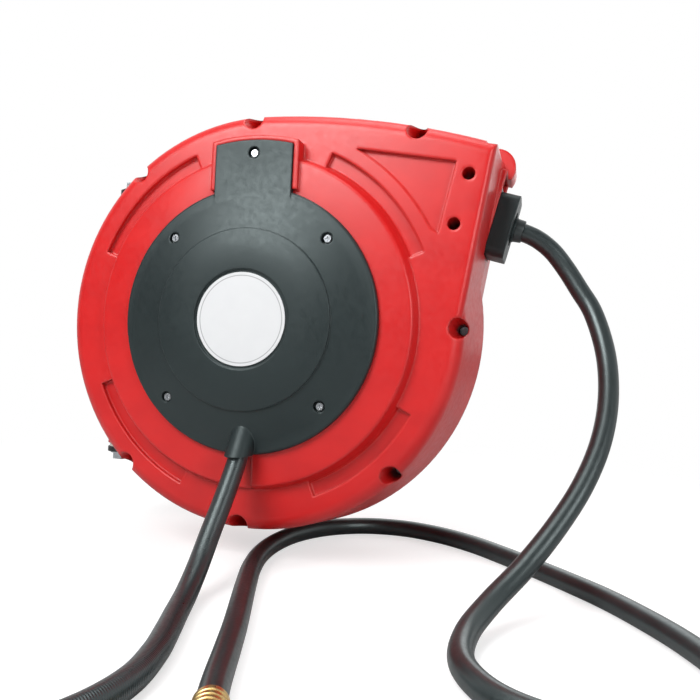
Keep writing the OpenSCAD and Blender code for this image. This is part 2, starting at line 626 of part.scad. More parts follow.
// ---- hose stopper: two halves clamped round the hose, resting on the collar
module stopper_form() {
    difference() {
        intersection() {
            translate([0, -33, -26]) cube([stopper_t, stopper_h, 52]);
            // corners rounded about the hose line
            translate([-1, stopper_h / 2 - 33, 0]) rotate([0, 90, 0]) {
                linear_extrude(height = stopper_t + 2) {
                    square([52, stopper_h - 18], center = true);
                    square([34, stopper_h], center = true);
                    for (x = [-17, 17]) for (y = [-1, 1]) translate([x, y * (stopper_h / 2 - 9)])
                        circle(r = 9, $fn = 48);
                }
            }
        }
        translate([-1, 0, 0]) rotate([0, 90, 0]) cylinder(h = 60, r = hose_r);
        // dished ring round the hose on the outer face
        translate([stopper_t - 3, 0, 0]) rotate([0, 90, 0]) difference() {
            cylinder(h = 10, r = 17);
            cylinder(h = 10, r = hose_r + 3.2);
        }
        // screws from the rear half, blind in the front half
        for (y = [22, -24]) translate([stopper_t / 2, y, -60]) {
            cylinder(h = 82, r = 2, $fn = 24);
            cylinder(h = 40, r = 4.4, $fn = 32);
        }
    }
    translate([stopper_t - 1, 0, 0]) rotate([0, 90, 0]) tube(3.5, hose_r + 3.2, hose_r);
}
module stopper_front() color(black) along_exit() intersection() {
    stopper_form();
    translate([-5, -50, 0]) cube([60, 100, 60]);
}
module stopper_rear() color(black) along_exit() intersection() {
    stopper_form();
    translate([-5, -50, -60]) cube([60, 100, 60]);
}
module stopper_screws() color(steel) along_exit() for (y = [22, -24])
    translate([stopper_t / 2, y, -20]) mirror([0, 0, 1]) screw(4.2, 3, 2, 40);

module hose_tail() color(rubber) {
    swept_tube(tail_steps, hose_r, 12, [0, -0.55, 0.83]);
}
span_end = 60;              // where the hose meets its exit line, behind the collar's rim
exit_point = [reel_x + exit_at[0], -wall_gap, exit_at[1]];
exit_vec = [exit_dir[0], 0, exit_dir[1]];
tail_steps = concat([for (s = [-span_end, 0, stopper_t + 3]) exit_point + s * exit_vec],
                    tail_route);
module bend_sleeve() color(rubber) along_exit() translate([stopper_t + 2.5, 0, 0]) rotate([0, 90, 0])
    difference() {
        cylinder(h = 8, r1 = hose_r + 2.7, r2 = hose_r + 2);
        translate([0, 0, -1]) cylinder(h = 12, r = hose_r + 0.9);
    }

// ---- drum
module drum_core() color(black) facing_front() {
    difference() {
        union() {
            translate([0, 0, -drum_half]) tube(2 * drum_half, core_r, core_r - 4);
            translate([0, 0, -6]) cylinder(h = 4, r = core_r - 3);
            translate([0, 0, -6]) cylinder(h = 52, r = 19);
            for (a = [15:30:345]) rotate([0, 0, a]) translate([core_r - 10, 0, -drum_half])
                cylinder(h = 2 * drum_half, r = 5, $fn = 24);
            for (a = [0:60:300]) rotate([0, 0, a]) translate([18, -1.5, -3]) cube([core_r - 20, 3, 30]);
        }
        translate([0, 0, -4]) cylinder(h = 80, r = 13);
        translate([0, 0, -10]) cylinder(h = 80, r = 11.1);
        for (a = [15:30:345]) rotate([0, 0, a]) translate([core_r - 10, 0, -drum_half - 1])
            cylinder(h = 2 * drum_half + 2, r = 1.8, $fn = 24);
        // slot where the hose passes into the core
        rotate([0, 0, 90]) translate([9, -10, 12]) cube([core_r, 22, 22]);
    }
}
module flange_form() {
    difference() {
        union() {
            tube(3.4, flange_r, core_r - 14);
            translate([0, 0, 0]) tube(9, flange_r, flange_r - 3);
            translate([0, 0, 0]) tube(8, core_r + 3, core_r - 14);
            for (a = [0:20:340]) rotate([0, 0, a]) translate([core_r, -1.5, 0])
                cube([flange_r - core_r - 1.5, 3, 7]);
        }
        for (a = [0:90:270]) rotate([0, 0, a]) translate([core_r - 6, 0, -1])
            cylinder(h = 20, r = 1.5, $fn = 24);
        for (a = [15:30:345]) rotate([0, 0, a]) translate([core_r - 10, 0, -1]) {
            cylinder(h = 20, r = 2.2, $fn = 24);
            translate([0, 0, 4]) cylinder(h = 20, r = 4.4, $fn = 24);
        }
        // windows between the ribs
        for (a = [10:40:330]) rotate([0, 0, a]) translate([(core_r + flange_r) / 2 + 6, 0, -1])
            cylinder(h = 20, r = 13, $fn = 48);
    }
}
module front_flange() color(black) facing_front() translate([0, 0, drum_half]) flange_form();
module rear_flange() color(black) facing_rear() translate([0, 0, drum_half]) flange_form();
module flange_screws() color(steel) {
    facing_front() for (a = [15:30:345]) rotate([0, 0, a]) translate([core_r - 10, 0, drum_half + 4])
        screw(3.9, 2.6, 1.8, 24);
    facing_rear() for (a = [15:30:345]) rotate([0, 0, a]) translate([core_r - 10, 0, drum_half + 4])
        screw(3.9, 2.6, 1.8, 24);
}
// Toothed ring that the pawl drops into
module ratchet_ring() color(grey) facing_front() translate([0, 0, drum_half + 8]) difference() {
    union() {
        tube(5, core_r + 1, core_r - 14);
        for (i = [0:ratchet_teeth - 1]) rotate([0, 0, i * 360 / ratchet_teeth])
            linear_extrude(height = 5) polygon([[core_r - 1, -9], [core_r + 9, 5], [core_r - 1, 5]]);
    }
    for (a = [15:30:345]) rotate([0, 0, a]) translate([core_r - 10, 0, -1]) cylinder(h = 20, r = 4.4, $fn = 24);
    for (a = [0:90:270]) rotate([0, 0, a]) translate([core_r - 6, 0, -1]) cylinder(h = 20, r = 1.7, $fn = 24);
}
module ring_screws() color(steel) {
    facing_front() for (a = [0:90:270]) rotate([0, 0, a]) translate([core_r - 6, 0, drum_half + 13])
        screw(3, 2, 1.5, 12);
    facing_rear() for (a = [0:90:270]) rotate([0, 0, a]) translate([core_r - 6, 0, drum_half + 11])
        screw(3, 2, 1.5, 10);
}
// Pawl, drawn in mesh and swung clear of the teeth at rest
pawl_at = [5.8 + 20.4, -core_r - 26];
pawl_clear = 30;
module pawl() color(steel) facing_front() translate([pawl_at[0], pawl_at[1], drum_half + 9.5])
    rotate([0, 0, pawl_clear]) linear_extrude(height = 3.3) difference() {
        union() {
            circle(r = 7, $fn = 40);
            polygon([[-20.4, 19], [-20.4, 12], [-5, -4.9], [4.9, 5], [-3, 9]]);
        }
        circle(r = 3.05, $fn = 40);
    }
module pawl_pin() color(steel) facing_front() translate([pawl_at[0], pawl_at[1], drum_half + 9.2]) {
    translate([0, 0, -0.8]) cylinder(h = tank_z - wall - drum_half - 8.4, r = 3, $fn = 40);
    translate([0, 0, -0.8]) cylinder(h = 0.8, r = 5, $fn = 40);
}
module axle_tube() color(brass) facing_front() difference() {
    union() {
        translate([0, 0, -4]) cylinder(h = hub_z + 18, r = 13);
        translate([0, 0, 60]) cylinder(h = hub_z - 35, r = 10.5);
        translate([0, 0, 23]) rotate([-90, 0, 0]) cylinder(h = 24, r = 8);
    }
    translate([0, 0, 12]) cylinder(h = 100, r = 6);
    translate([0, 0, 23]) rotate([-90, 0, 0]) cylinder(h = 40, r = 5);
    for (z = [17.6, 21.6]) translate([0, 0, hub_z + z]) tube(2.6, 12, 8.7);
}
module axle_seals() color(rubber) facing_front() for (z = [17.7, 21.7])
    translate([0, 0, hub_z + z]) tube(2.4, 10.5, 8.7);
module hose_nipple() color(brass) facing_front() translate([0, 24, 23]) rotate([-90, 0, 0]) difference() {
    union() {
        cylinder(h = 12, r = 11, $fn = 6);
        cylinder(h = 40, r = 6.2);
    }
    translate([0, 0, -1]) cylinder(h = 60, r = 4.6);
    translate([0, 0, -1]) cylinder(h = 2, r = 8);
}
// First length of hose, from the nipple out to the lowest layer
module inner_hose_end() color(rubber) facing_front() translate([0, 38, 23]) rotate([-90, 0, 0])
    difference() {
        cylinder(h = core_r - 38.3, r = hose_r);
        translate([0, 0, -1]) cylinder(h = 27.01, r = 6.2);
    }
module nipple_clamp() color(steel) facing_front() translate([0, 43, 23]) rotate([-90, 0, 0]) {
    tube(9, hose_r + 1, hose_r);
    translate([hose_r + 0.4, -3, 0]) cube([7, 6, 9]);
}
module drum_bush() color(white) facing_rear() translate([0, 0, drum_half + 6]) {
    tube(6, 15.5, 12.05);
    tube(2, 20, 12.05);
}
// Lower hose layers, as one plain ring under the outer layer
module inner_winding() color(rubber) facing_front() translate([0, 0, -drum_half + 0.4])
    difference() {
        cylinder(h = 2 * drum_half - 0.8, r = inner_hose_r, $fn = 120);
        translate([0, 0, -1]) cylinder(h = 2 * drum_half + 2, r = core_r, $fn = 120);
    }
// Outer layer: one tube in loops that step sideways, square to its ends
wind_n = 24;
wind_start = -37.5;
function wind_point(i) = let (a = 83.9 - 360 * i / wind_n, z = wind_start + wind_pitch * i / wind_n)
    [wind_r * cos(a), wind_r * sin(a), z];
wind_core = [for (i = [0:wind_loops * wind_n]) wind_point(i)];
wind_in = unit(wind_core[1] - wind_core[0]);
wind_out = unit(wind_core[wind_loops * wind_n] - wind_core[wind_loops * wind_n - 1]);
winding = concat([wind_core[0] - hose_d * wind_in], wind_core,
                 [wind_core[wind_loops * wind_n] + hose_d * wind_out]);
// least clear gap between neighbouring loops, measured on the route's points
wind_last = len(winding) - 1;
wind_gap = min([for (i = [0:wind_last - wind_n + 3])
    for (k = [i + wind_n - 3:min(i + wind_n + 3, wind_last)]) norm(winding[k] - winding[i])]) - hose_d;
echo(winding_gap_mm = wind_gap);
module outer_winding() color(rubber) facing_front() swept_tube(winding, hose_r, 6, [0, 0, 1]);

// Hose between the drum and the mouth guide
span_out = [exit_at[0], exit_at[1], 0] - span_end * [exit_dir[0], exit_dir[1], 0];
span_route = [winding[wind_last], winding[wind_last] + 8 * wind_out, [75, 134.5, 33], [108, 131.5, 19.5],
              [124, 129.6, 11], [140, 127.5, 3.5], span_out - 6 * [exit_dir[0], exit_dir[1], 0], span_out];
module hose_span() color(rubber) facing_front() swept_tube(span_route, hose_r, 12, [0, 0.3, 0.95]);

// ---- power spring on the rear side
module spring_arbor() color(steel) facing_rear() {
    difference() {
        union() {
            translate([0, 0, 8]) cylinder(h = 80, r = 12);
            translate([0, 0, 88]) cylinder(h = 3, r = 24);
        }
        translate([-1, 4, 6]) cube([2, 12, 42]);
        for (a = [30:60:330]) rotate([0, 0, a]) translate([18, 0, 80]) cylinder(h = 40, r = 2.1, $fn = 24);
    }
}
module arbor_screws() color(steel) facing_rear() for (a = [30:60:330]) rotate([0, 0, a])
    translate([18, 0, 91]) screw(3.6, 2.4, 1.6, 18);
function spiral(a, off) = (12.6 + off + (core_r - 29.4) * a / (360 * spring_turns)) * [cos(a), sin(a)];
module power_spring() color(grey) facing_rear() translate([0, 0, 8]) linear_extrude(height = 34)
    polygon(concat([for (i = [0:spring_turns * 20]) spiral(i * 18, 0)],
                   [for (i = [spring_turns * 20:-1:0]) spiral(i * 18, 1.6)]));
module spring_case_lid() color(black) facing_rear() translate([0, 0, drum_half + 8]) difference() {
    cylinder(h = 3, r = core_r);
    translate([0, 0, -1]) cylinder(h = 20, r = 15.5);
    for (a = [0:90:270]) rotate([0, 0, a]) translate([core_r - 6, 0, -1]) cylinder(h = 20, r = 1.7, $fn = 24);
}

wall_bracket();
upper_pivot_bolt();
lower_pivot_bolt();
front_shell();
rear_shell();
housing_screws();
upper_pivot_bush();
lower_pivot_bush();
front_cover();
label_disc();
cover_screws();
rear_cover();
rear_cover_screws();
front_bush();
swivel_elbow();
elbow_screw();
lead_hose();
lead_ferrule();
lead_fitting();
spring_arbor();
arbor_screws();
mouth_frame();
upper_roller();
lower_roller();
front_side_roller();
rear_side_roller();
roller_pins();
side_roller_pins();
stopper_front();
stopper_rear();
stopper_screws();
hose_span();
hose_tail();
bend_sleeve();
tail_fitting();
drum_core();
front_flange();
rear_flange();
flange_screws();
ratchet_ring();
ring_screws();
axle_tube();
axle_seals();
hose_nipple();
nipple_clamp();
inner_hose_end();
inner_winding();
outer_winding();
drum_bush();
spring_case_lid();
power_spring();
pawl();
pawl_pin();
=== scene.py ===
"""Spring-rewind hose reel on a swivel bracket: finishes, hoses, fittings, camera and light."""
import logging
import math
from collections.abc import Callable
from dataclasses import dataclass, field
from enum import Enum

import bpy  # noqa: E402
from mathutils import Matrix, Vector  # noqa: E402

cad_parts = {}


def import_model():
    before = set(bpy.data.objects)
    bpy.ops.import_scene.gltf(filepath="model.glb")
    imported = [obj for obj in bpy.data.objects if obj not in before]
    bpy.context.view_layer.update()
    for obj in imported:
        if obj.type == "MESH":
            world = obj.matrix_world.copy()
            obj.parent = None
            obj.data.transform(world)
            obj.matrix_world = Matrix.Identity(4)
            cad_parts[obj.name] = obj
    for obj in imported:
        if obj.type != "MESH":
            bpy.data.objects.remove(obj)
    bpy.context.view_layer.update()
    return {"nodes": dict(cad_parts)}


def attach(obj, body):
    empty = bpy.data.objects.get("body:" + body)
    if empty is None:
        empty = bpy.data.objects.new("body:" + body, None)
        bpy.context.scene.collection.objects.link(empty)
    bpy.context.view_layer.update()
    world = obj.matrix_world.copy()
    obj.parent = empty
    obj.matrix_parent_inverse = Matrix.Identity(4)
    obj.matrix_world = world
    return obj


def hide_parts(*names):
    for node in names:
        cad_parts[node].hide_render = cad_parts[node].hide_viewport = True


LOG = logging.getLogger("hose_reel")
Socket = bpy.types.NodeSocket
MM = 0.001
UP = (0.0, 0.0, 1.0)
HOSE_STEP = 4 * MM
# the drum's centre in millimetres, and the hose's line out of the mouth: a point in metres and its way
DRUM_CENTRE = (190.0, -126.0, 0.0)
MOUTH_EXIT = (0.40630, -0.126, 0.109)
EXIT_WAY = (0.97030, 0.0, -0.24192)
# how far the softened normal and the flat one agree on a full edge and on a plain face
EDGE_TURN = (0.80, 0.985)


class Surface(Enum):
    """How the rubber of a hose is finished."""

    SMOOTH = "smooth"
    WRAPPED = "wrapped"


# ---------------- node sheets


class NodeSheet:
    """The node tree of a material or world, with short ways to add and join its nodes."""

    def __init__(self, owner: bpy.types.Material | bpy.types.World) -> None:
        """Empties the owner's node tree.

        Args:
            owner: the material or world.
        """
        owner.use_nodes = True
        self.tree = owner.node_tree
        self.tree.nodes.clear()

    def node(self, kind: str, **settings: object) -> bpy.types.Node:
        """Adds a shader node.

        Args:
            kind: the node's type name.
            settings: attributes to set on it.

        Returns:
            The new node.
        """
        made = self.tree.nodes.new(kind)
        for key, value in settings.items():
            setattr(made, key, value)
        return made

    def link(self, source: Socket, target: Socket) -> None:
        """Joins an output socket to an input socket."""
        self.tree.links.new(source, target)

    def spread(self, value: Socket, low: float, high: float, start: float = 0.3,
               end: float = 0.7) -> Socket:
        """Maps a value from start..end to low..high.

        Args:
            value: the socket to map.
            low: result at start.
            high: result at end.
            start: value that gives low.
            end: value that gives high.

        Returns:
            The mapped value's socket.
        """
        made = self.node("ShaderNodeMapRange")
        made.inputs["From Min"].default_value = start
        made.inputs["From Max"].default_value = end
        made.inputs["To Min"].default_value = low
        made.inputs["To Max"].default_value = high
        self.link(value, made.inputs["Value"])
        return made.outputs["Result"]

    def math(self, operation: str, first: object, second: object = 0.0) -> Socket:
        """Adds a maths node.

        Args:
            operation: its operation.
            first: a number or socket.
            second: a number or socket.

        Returns:
            The result's socket.
        """
        made = self.node("ShaderNodeMath", operation=operation)
        for socket, value in zip(made.inputs, (first, second)):
            if isinstance(value, (int, float)):
                socket.default_value = value
            else:
                self.link(value, socket)
        return made.outputs["Value"]


class ShaderSheet(NodeSheet):
    """One new material with a Principled surface and object coordinates."""

    def __init__(self, name: str) -> None:
        """Starts the material.

        Args:
            name: the material's name.
        """
        self.material = bpy.data.materials.new(name)
        super().__init__(self.material)
        self.surface = self.node("ShaderNodeBsdfPrincipled")
        self.coords = self.node("ShaderNodeTexCoord").outputs["Object"]
        output = self.node("ShaderNodeOutputMaterial")
        self.link(self.surface.outputs["BSDF"], output.inputs["Surface"])

    def noise(self, grain: float, detail: float = 2.0, stretch: tuple = (1.0, 1.0, 1.0)) -> Socket:
        """Adds a noise in object space.

        Args:
            grain: size of one grain in metres.
            detail: number of finer octaves.
            stretch: scale factors of the coordinates along x, y and z.

        Returns:
            The noise's value socket.
        """
        source = self.coords
        if stretch != (1.0, 1.0, 1.0):
            mapping = self.node("ShaderNodeMapping")
            mapping.inputs["Scale"].default_value = stretch
            self.link(self.coords, mapping.inputs["Vector"])
            source = mapping.outputs["Vector"]
        made = self.node("ShaderNodeTexNoise")
        made.inputs["Scale"].default_value = 1.0 / grain
        made.inputs["Detail"].default_value = detail
        self.link(source, made.inputs["Vector"])
        return made.outputs["Fac"]

    def blend(self, factor: Socket, first: object, second: object) -> Socket:
        """Mixes two colours.

        Args:
            factor: mixing socket, 0 for the first colour.
            first: a colour or a colour socket.
            second: a colour or a colour socket.

        Returns:
            The mixed colour's socket.
        """
        made = self.node("ShaderNodeMix", data_type="RGBA")
        self.link(factor, made.inputs["Factor"])
        for socket, value in ((made.inputs[6], first), (made.inputs[7], second)):
            if isinstance(value, tuple):
                socket.default_value = (*value, 1.0)
            else:
                self.link(value, socket)
        return made.outputs[2]

    def rounded(self, radius: float) -> Socket:
        """Adds softened edges of the given radius and returns their normal."""
        made = self.node("ShaderNodeBevel", samples=8)
        made.inputs["Radius"].default_value = radius
        return made.outputs["Normal"]

    def edge_mask(self, normal: Socket) -> Socket:
        """Marks where softened edges turn away from the flat surface.

        Args:
            normal: the softened normal.

        Returns:
            A socket that is 0 on faces and rises to 1 on edges.
        """
        flat = self.node("ShaderNodeNewGeometry").outputs["Normal"]
        dot = self.node("ShaderNodeVectorMath", operation="DOT_PRODUCT")
        self.link(normal, dot.inputs[0])
        self.link(flat, dot.inputs[1])
        return self.spread(dot.outputs["Value"], 1.0, 0.0, *EDGE_TURN)

    def bump(self, height: Socket, depth: float, strength: float,
             normal: Socket | None = None) -> Socket:
        """Adds a bump.

        Args:
            height: socket with the height, 0 to 1.
            depth: real height of 1, in metres.
            strength: how far the normal follows it.
            normal: normal that it lies on.

        Returns:
            The bumped normal's socket.
        """
        made = self.node("ShaderNodeBump")
        made.inputs["Distance"].default_value = depth
        made.inputs["Strength"].default_value = strength
        self.link(height, made.inputs["Height"])
        if normal is not None:
            self.link(normal, made.inputs["Normal"])
        return made.outputs["Normal"]

    def finish(self, colour: Socket, roughness: Socket, normal: Socket) -> bpy.types.Material:
        """Joins colour, roughness and normal to the surface and returns the material."""
        self.link(colour, self.surface.inputs["Base Color"])
        self.link(roughness, self.surface.inputs["Roughness"])
        self.link(normal, self.surface.inputs["Normal"])
        return self.material


# ---------------- finishes


@dataclass(frozen=True)
class MouldedPlastic:
    """Injection-moulded plastic with a fine grain, soft edges, faint flow marks and paler edges that are partly
    wear and partly a painted highlight.
    """

    name: str
    colour: tuple
    deep: tuple
    # edge: paler colour of the softened edges, partly edge wear and partly a painted highlight
    edge: tuple
    roughness: tuple = (0.36, 0.46)
    grain: float = 0.5 * MM
    grain_depth: float = 0.03 * MM
    edge_radius: float = 1.0 * MM
    specular: float = 0.5
    sheen_tint: tuple = (1.0, 1.0, 1.0)
    flow_size: float = 46 * MM
    edge_patch_size: float = 7 * MM
    gloss_size: float = 5 * MM

    def material(self) -> bpy.types.Material:
        """Builds the material."""
        sheet = ShaderSheet(self.name)
        sheet.surface.inputs["Specular IOR Level"].default_value = self.specular
        sheet.surface.inputs["Specular Tint"].default_value = (*self.sheen_tint, 1.0)
        normal = sheet.rounded(self.edge_radius)
        flow = sheet.noise(self.flow_size, 3.0, (1.0, 1.0, 1.6))
        colour = sheet.blend(sheet.spread(flow, 0.0, 1.0), self.colour, self.deep)
        # softened edges lightened in patches towards the edge colour: partly wear, partly a painted highlight on
        # every edge
        patches = sheet.spread(sheet.noise(self.edge_patch_size), 0.15, 0.6)
        edge_mix = sheet.math("MULTIPLY", sheet.edge_mask(normal), patches)
        colour = sheet.blend(edge_mix, colour, self.edge)
        rough = sheet.spread(sheet.noise(self.gloss_size, 4.0), *self.roughness)
        grain = sheet.bump(sheet.noise(self.grain, 2.0), self.grain_depth, 0.5, normal)
        return sheet.finish(colour, rough, grain)


@dataclass(frozen=True)
class Metal:
    """Plated or machined metal with faint tool marks and handling wear."""

    name: str
    colour: tuple
    tint: tuple
    roughness: tuple = (0.22, 0.38)
    brush: tuple = (1.0, 1.0, 14.0)
    edge_radius: float = 0.25 * MM
    tint_size: float = 9 * MM
    mark_size: float = 0.9 * MM
    mark_depth: float = 0.02 * MM

    def material(self) -> bpy.types.Material:
        """Builds the material."""
        sheet = ShaderSheet(self.name)
        sheet.surface.inputs["Metallic"].default_value = 1.0
        normal = sheet.rounded(self.edge_radius)
        tinted = sheet.spread(sheet.noise(self.tint_size, 3.0), 0.0, 1.0)
        colour = sheet.blend(tinted, self.colour, self.tint)
        marks = sheet.noise(self.mark_size, 2.0, self.brush)
        rough = sheet.spread(marks, *self.roughness)
        return sheet.finish(colour, rough, sheet.bump(marks, self.mark_depth, 0.35, normal))


@dataclass(frozen=True)
class PowderCoat:
    """Powder-coated sheet steel with orange-peel texture and rubbed edges."""

    name: str
    colour: tuple
    rubbed: tuple
    roughness: tuple = (0.42, 0.55)
    edge_radius: float = 0.8 * MM
    edge_patch_size: float = 6 * MM
    gloss_size: float = 12 * MM
    peel_size: float = 1.6 * MM
    peel_depth: float = 0.05 * MM

    def material(self) -> bpy.types.Material:
        """Builds the material."""
        sheet = ShaderSheet(self.name)
        normal = sheet.rounded(self.edge_radius)
        patches = sheet.spread(sheet.noise(self.edge_patch_size), 0.0, 0.7)
        edge_mix = sheet.math("MULTIPLY", sheet.edge_mask(normal), patches)
        colour = sheet.blend(edge_mix, self.colour, self.rubbed)
        rough = sheet.spread(sheet.noise(self.gloss_size, 3.0), *self.roughness)
        peel = sheet.bump(sheet.noise(self.peel_size, 1.0), self.peel_depth, 0.5, normal)
        return sheet.finish(colour, rough, peel)


@dataclass(frozen=True)
class Rubber:
    """Black hose rubber, smooth or with the marks of the cloth that it was cured in."""

    name: str
    colour: tuple
    dusty: tuple
    surface: Surface = Surface.SMOOTH
    roughness: tuple = (0.34, 0.46)
    wrap_pitch: float = 1.7 * MM
    wrap_depth: float = 0.16 * MM
    smooth_depth: float = 0.012 * MM
    specular: float = 0.9
    sheen_tint: tuple = (0.86, 1.0, 1.0)
    dust_size: float = 24 * MM
    gloss_size: float = 3 * MM
    grain: float = 0.35 * MM
    grain_depth: float = 0.02 * MM

    def material(self) -> bpy.types.Material:
        """Builds the material; it reads the tube's own along and round attributes."""
        sheet = ShaderSheet(self.name)
        sheet.surface.inputs["Specular Tint"].default_value = (*self.sheen_tint, 1.0)
        sheet.surface.inputs["Specular IOR Level"].default_value = self.specular
        along = sheet.node("ShaderNodeAttribute", attribute_name="along").outputs["Fac"]
        turn = sheet.node("ShaderNodeAttribute", attribute_name="round").outputs["Fac"]
        dust = sheet.spread(sheet.noise(self.dust_size, 4.0), 0.0, 1.0, 0.42, 0.75)
        colour = sheet.blend(dust, self.colour, self.dusty)
        rough = sheet.spread(sheet.noise(self.gloss_size, 3.0), *self.roughness)
        fine = sheet.bump(sheet.noise(self.grain, 2.0), self.grain_depth, 0.4)
        phase = sheet.math("ADD", sheet.math("DIVIDE", along, self.wrap_pitch), turn)
        wave = sheet.math("SINE", sheet.math("MULTIPLY", phase, 2 * math.pi))
        height = sheet.spread(wave, 0.0, 1.0, -1.0, 1.0)
        deep = self.wrap_depth if self.surface is Surface.WRAPPED else self.smooth_depth
        return sheet.finish(colour, rough, sheet.bump(height, deep, 0.8, fine))


@dataclass(frozen=True)
class LabelFilm:
    """Blank white label film with a pale grey border line, satin over the disc's fine texture."""

    name: str
    colour: tuple
    line: tuple
    centre: tuple
    radius: float
    line_share: float = 0.93
    line_edge: tuple = (0.30 * MM, 0.55 * MM)
    edge_radius: float = 0.3 * MM
    mottle_size: float = 14 * MM
    gloss_size: float = 2 * MM
    peel_size: float = 1.1 * MM
    peel_depth: float = 0.015 * MM

    def material(self) -> bpy.types.Material:
        """Builds the material; the border line is a ring near the disc's edge."""
        sheet = ShaderSheet(self.name)
        spot = sheet.node("ShaderNodeVectorMath", operation="SUBTRACT")
        sheet.link(sheet.coords, spot.inputs[0])
        spot.inputs[1].default_value = self.centre
        flat = sheet.node("ShaderNodeVectorMath", operation="MULTIPLY")
        sheet.link(spot.outputs["Vector"], flat.inputs[0])
        flat.inputs[1].default_value = (1.0, 0.0, 1.0)
        length = sheet.node("ShaderNodeVectorMath", operation="LENGTH")
        sheet.link(flat.outputs["Vector"], length.inputs[0])
        line_radius = self.radius * self.line_share
        away = sheet.math("ABSOLUTE", sheet.math("SUBTRACT", length.outputs["Value"], line_radius))
        ring = sheet.spread(away, 1.0, 0.0, *self.line_edge)
        mottle = sheet.spread(sheet.noise(self.mottle_size, 3.0), 0.0, 0.12)
        mottled = sheet.blend(mottle, self.colour, self.line)
        ink = tuple(c * 0.55 for c in self.line)
        tone = sheet.blend(sheet.math("MULTIPLY", ring, 0.85), mottled, ink)
        rough = sheet.spread(sheet.noise(self.gloss_size, 3.0), 0.28, 0.38)
        normal = sheet.rounded(self.edge_radius)
        peel = sheet.bump(sheet.noise(self.peel_size, 2.0), self.peel_depth, 0.3, normal)
        return sheet.finish(tone, rough, peel)


@dataclass
class FinishBook:
    """All finishes of the reel, each made once and kept under its record slot."""

    made: dict = field(default_factory=dict)

    def entries(self) -> dict:
        """Lists the finish objects by slot name."""
        return {
            "shell_red": MouldedPlastic(
                "red shell plastic", (0.60, 0.012, 0.012), (0.53, 0.009, 0.010), (0.72, 0.06, 0.05),
                (0.30, 0.40), edge_radius=3.6 * MM),
            "cover_black": MouldedPlastic(
                "charcoal grained plastic", (0.0125, 0.0185, 0.0195), (0.0112, 0.0166, 0.0176),
                (0.045, 0.055, 0.057), (0.38, 0.48), grain=0.55 * MM, grain_depth=0.07 * MM,
                edge_radius=1.9 * MM, sheen_tint=(0.86, 1.0, 1.0)),
            "bracket_black": PowderCoat("black powder coat", (0.012, 0.013, 0.014), (0.10, 0.10, 0.10)),
            "label_white": LabelFilm("blank label film", (0.66, 0.67, 0.68), (0.54, 0.55, 0.57),
                                     (0.190, -0.2454, 0.0), 0.043),
            "zinc_steel": Metal("zinc-plated steel", (0.50, 0.52, 0.54), (0.42, 0.45, 0.48)),
            "brass": Metal("turned brass", (0.74, 0.53, 0.22), (0.62, 0.42, 0.17), (0.24, 0.4)),
            "hose_rubber": Rubber(
                "delivery hose rubber", (0.010, 0.0145, 0.0155), (0.015, 0.021, 0.0225),
                roughness=(0.30, 0.40)),
            "soft_rubber": Rubber("seal rubber", (0.008, 0.008, 0.009), (0.016, 0.016, 0.017)),
            "nylon": MouldedPlastic(
                "natural nylon", (0.62, 0.60, 0.54), (0.55, 0.53, 0.47), (0.70, 0.68, 0.62),
                (0.3, 0.4), edge_radius=0.4 * MM),
            "drum_black": MouldedPlastic(
                "black drum plastic", (0.014, 0.014, 0.015), (0.010, 0.010, 0.011),
                (0.035, 0.035, 0.037), (0.42, 0.55)),
            "roller_grey": MouldedPlastic(
                "grey roller plastic", (0.16, 0.165, 0.17), (0.13, 0.135, 0.14), (0.24, 0.245, 0.25),
                (0.3, 0.42), edge_radius=0.6 * MM),
            "spring_steel": Metal(
                "blued spring steel", (0.16, 0.17, 0.20), (0.22, 0.20, 0.19), (0.3, 0.45)),
            "lead_rubber": Rubber(
                "cloth-cured lead hose rubber", (0.011, 0.015, 0.0165), (0.019, 0.025, 0.027),
                Surface.WRAPPED, (0.27, 0.38)),
        }

    def get(self, name: str) -> bpy.types.Material:
        """Gives a finish's material.

        Args:
            name: the slot, or lead_rubber.

        Returns:
            The material, made on first use.
        """
        if name not in self.made:
            self.made[name] = self.entries()[name].material()
        return self.made[name]


# ---------------- mesh tools


def new_piece(name: str, points: list, faces: list, material: bpy.types.Material, body: str) -> bpy.types.Object:
    """Makes a smooth-shaded mesh piece that rides on a body.

    Args:
        name: the piece's name.
        points: vertices in metres.
        faces: vertex numbers of each face.
        material: its finish.
        body: the body that it rides on.

    Returns:
        The new object.
    """
    mesh = bpy.data.meshes.new(name)
    mesh.from_pydata([tuple(p) for p in points], [], faces)
    mesh.polygons.foreach_set("use_smooth", [True] * len(mesh.polygons))
    mesh.materials.append(material)
    mesh.update()
    made = bpy.data.objects.new(name, mesh)
    bpy.context.scene.collection.objects.link(made)
    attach(made, body)
    return made


